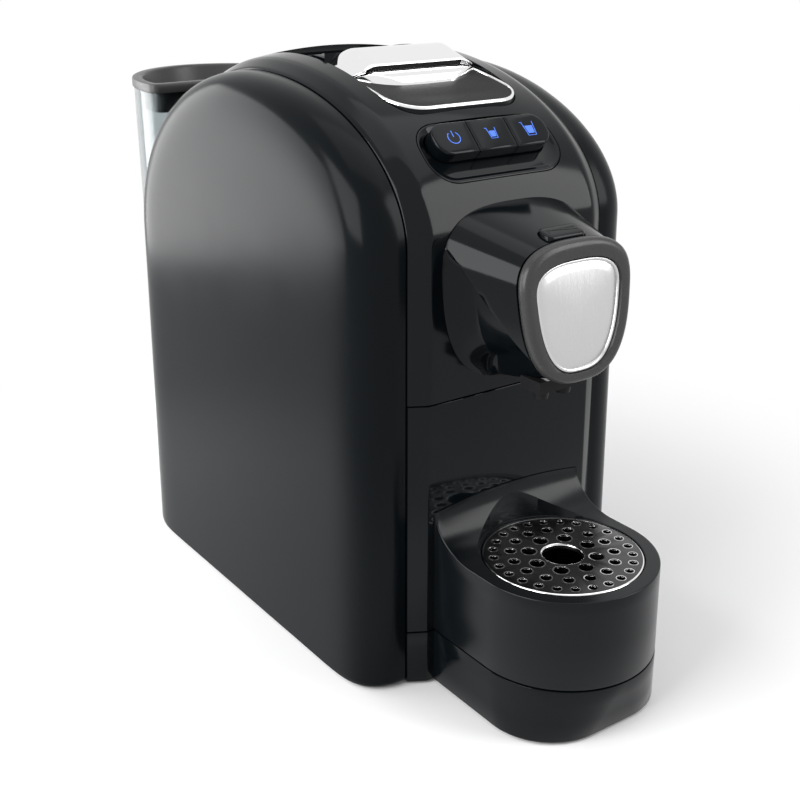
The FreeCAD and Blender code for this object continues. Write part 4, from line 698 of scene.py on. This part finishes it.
class COFFEE_OT_nose(bpy.types.Operator):
    """Build the nose hood with its side scoops, the cap ring, the catch and the badge plate"""

    bl_idname = "coffee.nose"
    bl_label = "Nose"

    def outline(self, t, part):
        """Point of the hood at an angle, part of the way from the cover to the cap."""
        x0, z0 = shield_point(t, *NOSE_ROOT)
        x1, z1 = shield_point(t, *NOSE_TIP)
        start = FRONT - 0.4
        if z0 > FRONT_SPRING:
            tall = TOP + cover_rise(x0) - FRONT_SPRING
            start = CREST - (CREST - FRONT) * math.sqrt(1 - ((z0 - FRONT_SPRING) / tall) ** 2) - 0.4
        end = 2.6 + NOSE_LEAN * (z1 - NOSE_LEVEL)
        return x0 + (x1 - x0) * part, start + (end - start) * part, z0 + (z1 - z0) * part

    def crease_turn(self, part, height):
        """Angle at which the hood's outline passes a height."""
        low, high = -QUARTER, QUARTER
        for attempt in range(40):
            middle = (low + high) / 2
            if self.outline(middle, part)[2] < height:
                low = middle
            else:
                high = middle
        return low

    def hood_ring(self, part):
        """Half outlines from the top to the crease and on round the scoop below it."""
        crease = 197 - 39 * part ** 1.3
        turn = self.crease_turn(part, crease)
        depth = SCOOP_DEPTH * min(part / 0.16, 1.0) ** 0.6 * ease((1 - part) / 0.35)
        side = [self.outline(t, part) for t in steps(QUARTER, turn, 30)]
        for step in steps(0, 1, 30)[1:]:
            x, y, z = self.outline(turn + (-QUARTER - turn) * step ** 1.8, part)
            rise = z - SCOOP_MIDDLE
            pull = depth * ease((crease - z) / 5.0) * ease((abs(x) - 9) / 10) / math.hypot(x, rise)
            side.append((x - pull * x, y, z - pull * rise))
        return side + [(-x, y, z) for x, y, z in reversed(side[1:-1])]

    def hood(self):
        """Hood from just inside the cover to its tip inside the cap."""
        rings = [self.hood_ring(part) for part in [0.0, 0.01, 0.03] + steps(0.06, 0.97, 40) + [0.99, 1.0]]
        root, tip = ([(x * size, y + back, NOSE_MIDDLE + (z - NOSE_MIDDLE) * size) for x, y, z in ring]
                     for ring, size, back in ((rings[0], 0.985, 1.2), (rings[-1], 0.95, -0.2)))
        return loft([root] + rings + [tip])

    def ring(self, grow, setback, size=NOSE_CAP):
        """Leaning nose outline of a size, grown all round."""
        half, top, bottom = size
        return [(x, setback + NOSE_LEAN * (z - NOSE_LEVEL), z)
                for x, z in shield(half + grow, top + grow, bottom - grow)]

    def catch_ring(self, grow, lift):
        """Plan of the release catch, lifted along the slope of the hood's top."""
        plan = rounded_plan(CATCH_HALF + grow, CATCH_DEEP + grow, CATCH_CORNER + grow)
        return [(x, CATCH_SPOT + y, CATCH_TOP + CATCH_SLOPE * y + lift) for x, y in plan]

    def pocket(self):
        """Tool for the room the catch is pressed into."""
        return make("pocket", [loft([self.catch_ring(0.6, lift) for lift in (-6.6, 9.0)])])

    def execute(self, context):
        hood = make("visual_nose_shell", [self.hood()], 38)
        carve(hood, self.pocket())
        shade(hood, 38)
        dress(hood, "gloss_black", "housing", "gloss_black", "nose_shell")
        rings = [self.ring(grow, setback) for grow, setback in (
            (-6, 4.0), (-1.7, 3.2), (-1.6, 1.6), (-0.6, 1.3), (0.0, 0.7), (0.1, -0.2), (0.0, -1.4),
            (-0.3, -2.4), (-0.9, -3.1), (-1.8, -3.5), (-2.8, -3.6), (-4.2, -3.5))]
        rings += [self.ring(grow, setback, NOSE_PLATE)
                  for grow, setback in ((0.8, -3.3), (0.5, -2.8), (0.3, -0.3))]
        bezel = make("visual_nose_bezel", [loft(rings)], 40)
        carve(bezel, self.pocket())
        shade(bezel, 40)
        dress(bezel, "cap_grey", "housing", "gloss_black", "nose_bezel")
        tab = loft([self.catch_ring(grow, lift) for grow, lift in (
            (0, -4.6), (0, -0.7), (-0.15, -0.3), (-0.5, -0.08), (-1.0, 0), (-2.0, 0.05), (-3.2, 0.05))])
        stand_in("nose_catch", tab, 40, "gloss_black", "catch", "satin_black")
        plate = [self.ring(grow, setback, NOSE_PLATE) for grow, setback in (
            (0.2, -0.2), (0.2, -2.1), (-0.1, -2.5), (-0.6, -2.6), (-1.0, -2.45), (-1.2, -2.0), (-1.5, -2.0),
            (-1.8, -2.15))]
        face = plate[-1]
        for shrink in (0.85, 0.65, 0.45, 0.25, 0.04):
            setback = -2.15 - 0.9 * (1 - shrink * shrink)
            ring = [(x * shrink, NOSE_MIDDLE + (z - NOSE_MIDDLE) * shrink) for x, y, z in face]
            plate.append([(x, setback + NOSE_LEAN * (z - NOSE_LEVEL), z) for x, z in ring])
        stand_in("badge_plate", loft(plate), 35, "silver", "housing", "silver")
        return {"FINISHED"}


class COFFEE_OT_drawer(bpy.types.Operator):
    """Build the drawer front and the drip column with its coved back"""

    bl_idname = "coffee.drawer"
    bl_label = "Drawer"

    def front(self):
        """Drawer front with bevelled stiles and softened upper and lower edges."""
        side, inner = [(51.5, 40.3), (44.6, 36.34), (44.0, 36.06), (43.3, 36.0)], [(51.5, 42.6), (43.4, 38.4)]
        outer = [(-x, y) for x, y in side] + side[::-1]
        inner += [(-x, y) for x, y in inner[::-1]]
        rings = []
        for z, inward in ((DRAWER_LOW, 0.5), (DRAWER_LOW + 0.15, 0.15), (DRAWER_LOW + 0.5, 0),
                          (PANEL_TOP - 0.5, 0), (PANEL_TOP - 0.15, 0.15), (PANEL_TOP, 0.5)):
            rings.append([(x, y + inward, z) for x, y in outer] + [(x, y, z) for x, y in inner])
        return loft(rings)

    def column(self):
        """Drip column: bowl, seat of the disc, cove up to the lip, and outside."""
        reach, rim, soft = FRONT - 0.05, SEAT + 0.3, 0.55
        corner = math.atan2(reach, COLUMN)
        turns = []
        for start, end, count in ((-math.pi, 0, 72), (0, corner, 40), (corner, math.pi - corner, 90),
                                  (math.pi - corner, math.pi, 40)):
            turns += steps(start, end, count)[:-1]

        def edge(turn):
            if math.sin(turn) <= 0:
                return COLUMN
            return min(COLUMN / max(abs(math.cos(turn)), 1e-6), reach / math.sin(turn))

        def height(x, y):
            part = min(max((y - COVE_START) / (reach - soft - COVE_START), 0.0), 1.0)
            rise = LIP_HEIGHT - DISC_TOP - 3.5 * (x / COLUMN) ** 2
            return DISC_TOP + rise * (1 - math.sqrt(1 - part * part))

        def outside(inward):
            return [((edge(t) - inward) * math.cos(t), (edge(t) - inward) * math.sin(t)) for t in turns]

        rings = []
        for radius, z in ((1, 29.3), (27, 29.3), (29.8, 30.0), (BOWL, 32), (BOWL, 63.8), (SEAT, 63.8),
                          (SEAT, 65.75), (SEAT + 0.1, 65.93), (rim, DISC_TOP)):
            rings.append([(radius * math.cos(t), radius * math.sin(t), z) for t in turns])
        for step in steps(0.04, 1, 30):
            part = math.sin(step * QUARTER)
            radii = [rim + (edge(t) - soft - rim) * part for t in turns]
            plan = [(radius * math.cos(t), radius * math.sin(t)) for radius, t in zip(radii, turns)]
            rings.append([(x, y, height(x, y)) for x, y in plan])
        crest = [z for x, y, z in rings[-1]]
        for out, down in ((0.25, 0.05), (0.45, 0.2), (soft, 0.5)):
            rings.append([(x, y, z - down) for (x, y), z in zip(outside(soft - out), crest)])
        for z, inward in ((60, 0), (45, 0), (DRAWER_LOW + 0.6, 0), (DRAWER_LOW + 0.15, 0.15),
                          (DRAWER_LOW, 0.5)):
            rings += levels(outside(inward), z)
        return loft(rings)

    def execute(self, context):
        stand_in("lower_front_panel", self.front(), 40, "mirror_black", "drawer", "gloss_black")
        stand_in("drip_column", self.column(), 40, "soft_gloss", "drawer", "gloss_black")
        return {"FINISHED"}


class COFFEE_OT_base(bpy.types.Operator):
    """Build the base under the drawer: the column's foot, the pan and the tank's shelf"""

    bl_idname = "coffee.base"
    bl_label = "Base"

    def foot(self, z, inset):
        """Plan of the column's foot: round above, squarer and drawn back below."""
        share = max(BASE_TOP - z, 0) / (BASE_TOP - PANEL_LOW)
        half, rear = COLUMN - inset, FRONT + WALL - inset
        corner = (half - 0.3) * (1 - share) + (FOOT_CORNER - inset) * share
        front = FOOT_DRAW * share - half
        side = [(-half, y) for y in steps(rear, front + corner, 8)[:-1]]
        side += [(across - half, front + along) for across, along in bend(corner, 30)]
        plan = side + [(-x, y) for x, y in reversed(side)]
        return [(x, y, z) for x, y in plan]

    def pan(self, z, inset):
        """Plan of the housing's front with a bevel each side, closed behind."""
        side = [(SHELL_HALF - inset, REAR - inset), (SHELL_HALF - inset, FRONT + BEVEL_DROP + inset),
                (COVER_HALF + 0.6 - inset / 2, FRONT + 0.34 + inset),
                (COVER_HALF - inset / 2, FRONT + 0.06 + inset),
                (COVER_HALF - 0.7 - inset / 2, FRONT + inset)]
        return [(-x, y, z) for x, y in side] + [(x, y, z) for x, y in reversed(side)]

    def cup(self, plan):
        """Closed skin of an open tray over a plan, with softened edges."""
        rows = ((PANEL_LOW, 0.6), (PANEL_LOW + 0.2, 0.18), (PANEL_LOW + 0.6, 0), (10, 0), (18, 0),
                (BASE_TOP - 0.5, 0), (BASE_TOP - 0.15, 0.15), (BASE_TOP, 0.5), (BASE_TOP, WALL),
                (PANEL_LOW + WALL, WALL))
        return loft([plan(z, inset) for z, inset in rows])

    def shelf(self, z, inset):
        """Plan of the tank's shelf, with its rear corners round."""
        corner = SHELF_CORNER - inset
        half, rear = SHELF_HALF - inset, SHELF_REAR - inset
        side = [(half, REAR - WALL)]
        side += [(half - across, rear - along) for across, along in bend(corner, 24)]
        return [(x, y, z) for x, y in side] + [(-x, y, z) for x, y in reversed(side)]

    def execute(self, context):
        finish = ("gloss_black", "housing", "gloss_black")
        stand_in("base_tray", self.cup(self.foot), 40, *finish)
        piece("base_pan", self.cup(self.pan), 40, *finish)
        shelf = make("tank_shelf", [loft([self.shelf(z, inset) for z, inset in (
            (PANEL_LOW, 0.8), (PANEL_LOW + 0.3, 0.2), (PANEL_LOW + 0.8, 0), (SHELF_TOP - 1.2, 0),
            (SHELF_TOP - 0.4, 0.3), (SHELF_TOP, 1.2))])], 40)
        low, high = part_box("tank_coupling")
        ring = circle((high.x - low.x) / 2 / MM, 48, (low.y + high.y) / 2 / MM - AXIS_Y)
        carve(shelf, make("way", [loft(levels(ring, -1, 20))]))
        shade(shelf, 40)
        dress(shelf, *finish)
        return {"FINISHED"}


class COFFEE_OT_disc(bpy.types.Operator):
    """Build the perforated drip disc; the holes and their bright rims come from one node tree"""

    bl_idname = "coffee.disc"
    bl_label = "Drip disc"

    def tree(self):
        """Copies of an object set on a circle."""
        tree = bpy.data.node_groups.new("around_a_circle", "GeometryNodeTree")
        tree.is_modifier = True
        for title, kind in (("Geometry", "Geometry"), ("Copies", "Int"), ("Radius", "Float"),
                            ("Turn", "Float"), ("Item", "Object"), ("Finish", "Material")):
            tree.interface.new_socket(title, in_out="INPUT", socket_type=f"NodeSocket{kind}")
        tree.interface.new_socket("Geometry", in_out="OUTPUT", socket_type="NodeSocketGeometry")
        inside, outside, ring, item, copies, turn, angle, real, finish = add_nodes(
            tree, "NodeGroupInput", "NodeGroupOutput", "GeometryNodeMeshCircle", "GeometryNodeObjectInfo",
            "GeometryNodeInstanceOnPoints", "GeometryNodeTransform", "ShaderNodeCombineXYZ",
            "GeometryNodeRealizeInstances", "GeometryNodeSetMaterial")
        wire(tree, (inside, "Copies", ring, "Vertices"), (inside, "Radius", ring, "Radius"),
             (inside, "Item", item, "Object"), (ring, "Mesh", turn, "Geometry"), (inside, "Turn", angle, "Z"),
             (angle, "Vector", turn, "Rotation"), (turn, "Geometry", copies, "Points"),
             (item, "Geometry", copies, "Instance"), (copies, "Instances", real, "Geometry"),
             (real, "Geometry", finish, "Geometry"), (inside, "Finish", finish, "Material"),
             (finish, "Geometry", outside, "Geometry"))
        return tree

    def around(self, name, tree, item, copies, radius, turn, finish):
        """One mesh of an item's copies, set on a circle about the disc's axis."""
        obj = bpy.data.objects.new(name, bpy.data.meshes.new(name))
        bpy.context.scene.collection.objects.link(obj)
        change = obj.modifiers.new("copies", "NODES")
        change.node_group = tree
        values = {"Copies": copies, "Radius": radius * MM, "Turn": turn, "Item": item,
                  "Finish": bpy.data.materials[finish]}
        for socket in tree.interface.items_tree:
            if socket.in_out == "INPUT" and socket.name in values:
                change[socket.identifier] = values[socket.name]
        bake(obj)
        obj.data.transform(Matrix.Translation(spot(0, 0, 0)))
        bpy.data.objects.remove(item)
        return obj

    def execute(self, context):
        rim = context.scene.coffee.hole_rim / MM
        body = [(8.7, -DISC_PLATE), (8.7, -0.5), (8.9, -0.1), (9.3, 0), (33.2, 0), (33.6, -0.15),
                (33.9, -0.45), (34.0, -0.8), (34.0, -DISC_PLATE)]
        disc = make("visual_drip_disc", [spin(body, 144, 0.007)], 50)
        tree, here = self.tree(), Matrix.Identity(4)
        rims = []
        for copies, ring, hole, turn in ((8, 14.2, 3.05, 0.0), (15, 22.0, 2.25, QUARTER),
                                         (25, 29.4, 1.7, math.pi)):
            pin = loft(levels(circle(hole, 28), DISC_TOP - DISC_PLATE - 1, DISC_TOP + 1))
            pin = make("pin", [pin], 35, here)
            carve(disc, self.around("pins", tree, pin, copies, ring, turn, "dark_steel"))
            section = [(hole + rim, -0.1), (hole + rim, 0.03), (hole + rim * 0.4, 0.01), (hole, -0.35),
                       (hole - 0.02, -0.8), (hole + 0.2, -0.8)]
            eye = make("eye", [spin(section, 28)], 50, here)
            rims.append(self.around("eyes", tree, eye, copies, ring, turn, "chrome"))
        shade(disc, 35)
        dress(disc, "dark_steel", "disc", "dark_steel", "drip_disc")
        for at, obj in enumerate(rims):
            obj.name = f"disc_hole_rims_{at + 1}"
            shade(obj, 40)
            dress(obj, "chrome", "disc", "dark_steel")
        edges = {"disc_outer_rim": [(33.3, -0.2), (33.3, 0.06), (33.7, -0.06), (34.02, -0.45), (34.02, -1.0),
                                    (33.6, -1.0)],
                 "disc_pour_rim": [(9.35, -0.2), (9.35, 0.05), (8.95, -0.06), (8.66, -0.5), (8.66, -1.0),
                                   (9.0, -1.0)]}
        for name, section in edges.items():
            piece(name, spin(section, 120), 50, "chrome", "disc", "dark_steel")
        return {"FINISHED"}


class COFFEE_OT_tank(bpy.types.Operator):
    """Build the clear water tank and its dished lid"""

    bl_idname = "coffee.tank"
    bl_label = "Water tank"

    def plan(self, shrink):
        """Half ellipse behind, straight front with round corners."""
        half, bow, front = TANK_HALF - shrink, TANK_BOW - shrink, TANK_FRONT + shrink
        turn = max(math.asin((front + TANK_CORNER - TANK_AXIS) / bow), 0)
        side = half * math.cos(turn)
        points = [(half * math.cos(t), TANK_AXIS + bow * math.sin(t))
                  for t in steps(turn, math.pi - turn, 40)]
        corner = bend(TANK_CORNER, 5)
        points += [(inward - side, front + up) for inward, up in corner]
        return points + [(side - inward, front + up) for up, inward in corner]

    def skin(self, rows):
        """Skin through plans given as shrink and height."""
        return loft([[(x, y, z) for x, y in self.plan(shrink)] for shrink, z in rows])

    def execute(self, context):
        low = TANK_LOW
        slope = lambda z: TANK_TAPER * (TANK_HIGH - z) / (TANK_HIGH - low)
        rows = [(slope(low) + 5, low), (slope(low) + 1.5, low + 0.5), (slope(low) + 0.4, low + 1.6),
                (slope(low + 4), low + 4)]
        rows += [(slope(z), z) for z in steps(30, TANK_HIGH, 8)]
        rows += [(TANK_WALL + slope(z), z) for z in steps(TANK_HIGH, low + 6, 8)]
        rows += [(3.4 + slope(low + 3), low + 3), (6.5 + slope(low), low + 2.2)]
        stand_in("water_tank", self.skin(rows), 40, "clear", "tank", "clear")
        rows = ((16, 222.2), (5, 222.2), (5, 233.2), (-0.6, 233.2), (-0.9, 233.6), (-0.9, 237.0),
                (-0.6, 237.7), (0.1, 238.0), (3.4, 238.0), (4.4, 237.6), (4.9, 236.8), (6.0, 226),
                (7.4, 224.6), (12, 224.2))
        stand_in("tank_lid", self.skin(rows), 40, "lid_satin", "lid", "satin_black")
        return {"FINISHED"}


class COFFEE_OT_stage(bpy.types.Operator):
    """Set the floor, lamps, world and camera"""

    bl_idname = "coffee.stage"
    bl_label = "Stage"

    def lamp(self, name, place, aim, size, power):
        """Soft box at a place, turned to its aim and hidden from the camera."""
        data = bpy.data.lights.new(name, "AREA")
        data.shape = "RECTANGLE"
        data.size, data.size_y = size
        data.energy = power
        obj = bpy.data.objects.new(name, data)
        obj.location = place
        obj.rotation_euler = (Vector(aim) - Vector(place)).to_track_quat("-Z", "Y").to_euler()
        obj.visible_camera = False
        bpy.context.scene.collection.objects.link(obj)
        return obj

    def seen_rays(self, tree):
        """Node and output that are 1 for rays from the camera, and for those seen in gloss or glass."""
        path, = add_nodes(tree, "ShaderNodeLightPath")
        total = (path, "Is Camera Ray")
        for title in ("Is Glossy Ray", "Is Transmission Ray"):
            add, = add_nodes(tree, "ShaderNodeMath")
            add.use_clamp = True
            wire(tree, (*total, add, 0), (path, title, add, 1))
            total = (add, 0)
        return total

    def world(self, scene):
        """White where it is seen, grey where it lights."""
        scene.world = bpy.data.worlds.new("studio")
        scene.world.use_nodes = True
        tree = scene.world.node_tree
        tone, = add_nodes(tree, "ShaderNodeMix")
        tone.data_type = "RGBA"
        set_inputs(tone, A=(0.42, 0.42, 0.43, 1), B=(1, 1, 1, 1))
        wire(tree, (*self.seen_rays(tree), tone, "Factor"),
             (tone, "Result", tree.nodes["Background"], "Color"))

    def floor(self, scene):
        """Pale floor that holds the shadow near the machine and runs out to white."""
        mesh = bpy.data.meshes.new("floor")
        mesh.from_pydata([(-6, -6, 0), (6, -6, 0), (6, 6, 0), (-6, 6, 0)], [], [(0, 1, 2, 3)])
        floor = bpy.data.objects.new("floor", mesh)
        scene.collection.objects.link(floor)
        paint = bpy.data.materials.new("floor_white")
        paint.use_nodes = True
        mesh.materials.append(paint)
        tree = paint.node_tree
        base = tree.nodes["Principled BSDF"]
        set_inputs(base, Base_Color=colour(0.92), Roughness=0.7, Specular_IOR_Level=0.1)
        place, away, reach, share, glow, mix = add_nodes(
            tree, "ShaderNodeTexCoord", "ShaderNodeVectorMath", "ShaderNodeMapRange", "ShaderNodeMath",
            "ShaderNodeEmission", "ShaderNodeMixShader")
        away.operation = "LENGTH"
        share.operation = "MULTIPLY"
        reach.interpolation_type = "SMOOTHSTEP"
        set_inputs(reach, From_Min=0.18, From_Max=0.36)
        wire(tree, (place, "Object", away, 0), (away, "Value", reach, "Value"), (reach, "Result", share, 0),
             (*self.seen_rays(tree), share, 1), (share, 0, mix, "Fac"), (base, "BSDF", mix, 1),
             (glow, "Emission", mix, 2), (mix, "Shader", tree.nodes["Material Output"], "Surface"))
        return floor

    def execute(self, context):
        scene = context.scene
        scene.view_settings.view_transform = "Standard"
        self.world(scene)
        floor = self.floor(scene)
        lamps = [self.lamp(*row) for row in (
            ("top_box", (0.3, -0.1, 1.5), (0.1, 0, 0), (1.0, 1.4), 4.5),
            ("key_box", (0.8, -0.95, 0.75), (0, 0, 0.15), (0.6, 1.0), 10),
            ("left_box", (-1.1, -0.1, 0.65), (0, 0, 0.2), (0.9, 1.0), 17),
            ("back_card", (-0.42, 0.48, 0.255), (-0.07, 0.02, 0.2), (0.7, 0.5), 4.6))]
        data = bpy.data.cameras.new("camera")
        data.lens = 57.02
        data.sensor_width = 36
        data.shift_y = -0.1
        camera = bpy.data.objects.new("camera", data)
        turn, lean = math.radians(-35.3), math.radians(17.83)
        away = Vector((math.sin(turn) * math.cos(lean), -math.cos(turn) * math.cos(lean), math.sin(lean)))
        camera.location = (-0.3319, -0.4997, 0.323)
        camera.rotation_euler = away.to_track_quat("Z", "Y").to_euler()
        scene.collection.objects.link(camera)
        scene.camera = camera
        return {"FINISHED"}


class COFFEE_PT_panel(bpy.types.Panel):
    """Sidebar panel with the settings and one button per group of pieces"""

    bl_idname = "COFFEE_PT_panel"
    bl_label = "Pod coffee machine"
    bl_space_type = "VIEW_3D"
    bl_region_type = "UI"
    bl_category = "Coffee"

    def draw(self, context):
        for name in CoffeeSettings.__annotations__:
            self.layout.prop(context.scene.coffee, name)
        for step in STEPS:
            self.layout.operator(step.bl_idname)


STEPS = (COFFEE_OT_materials, COFFEE_OT_panels, COFFEE_OT_cover, COFFEE_OT_buttons, COFFEE_OT_lever,
         COFFEE_OT_nose, COFFEE_OT_drawer, COFFEE_OT_base, COFFEE_OT_disc, COFFEE_OT_tank, COFFEE_OT_stage)
CLASSES = (CoffeeSettings, *STEPS, COFFEE_PT_panel)


def register():
    for item in CLASSES:
        bpy.utils.register_class(item)
    bpy.types.Scene.coffee = bpy.props.PointerProperty(type=CoffeeSettings)


def unregister():
    del bpy.types.Scene.coffee
    for item in reversed(CLASSES):
        bpy.utils.unregister_class(item)


def main():
    register()
    bpy.ops.coffee.materials()
    bpy.ops.coffee.panels()
    bpy.ops.coffee.cover()
    bpy.ops.coffee.buttons()
    bpy.ops.coffee.lever()
    bpy.ops.coffee.nose()
    bpy.ops.coffee.drawer()
    bpy.ops.coffee.base()
    bpy.ops.coffee.disc()
    bpy.ops.coffee.tank()
    bpy.ops.coffee.stage()


if __name__ == "__main__":
    main()
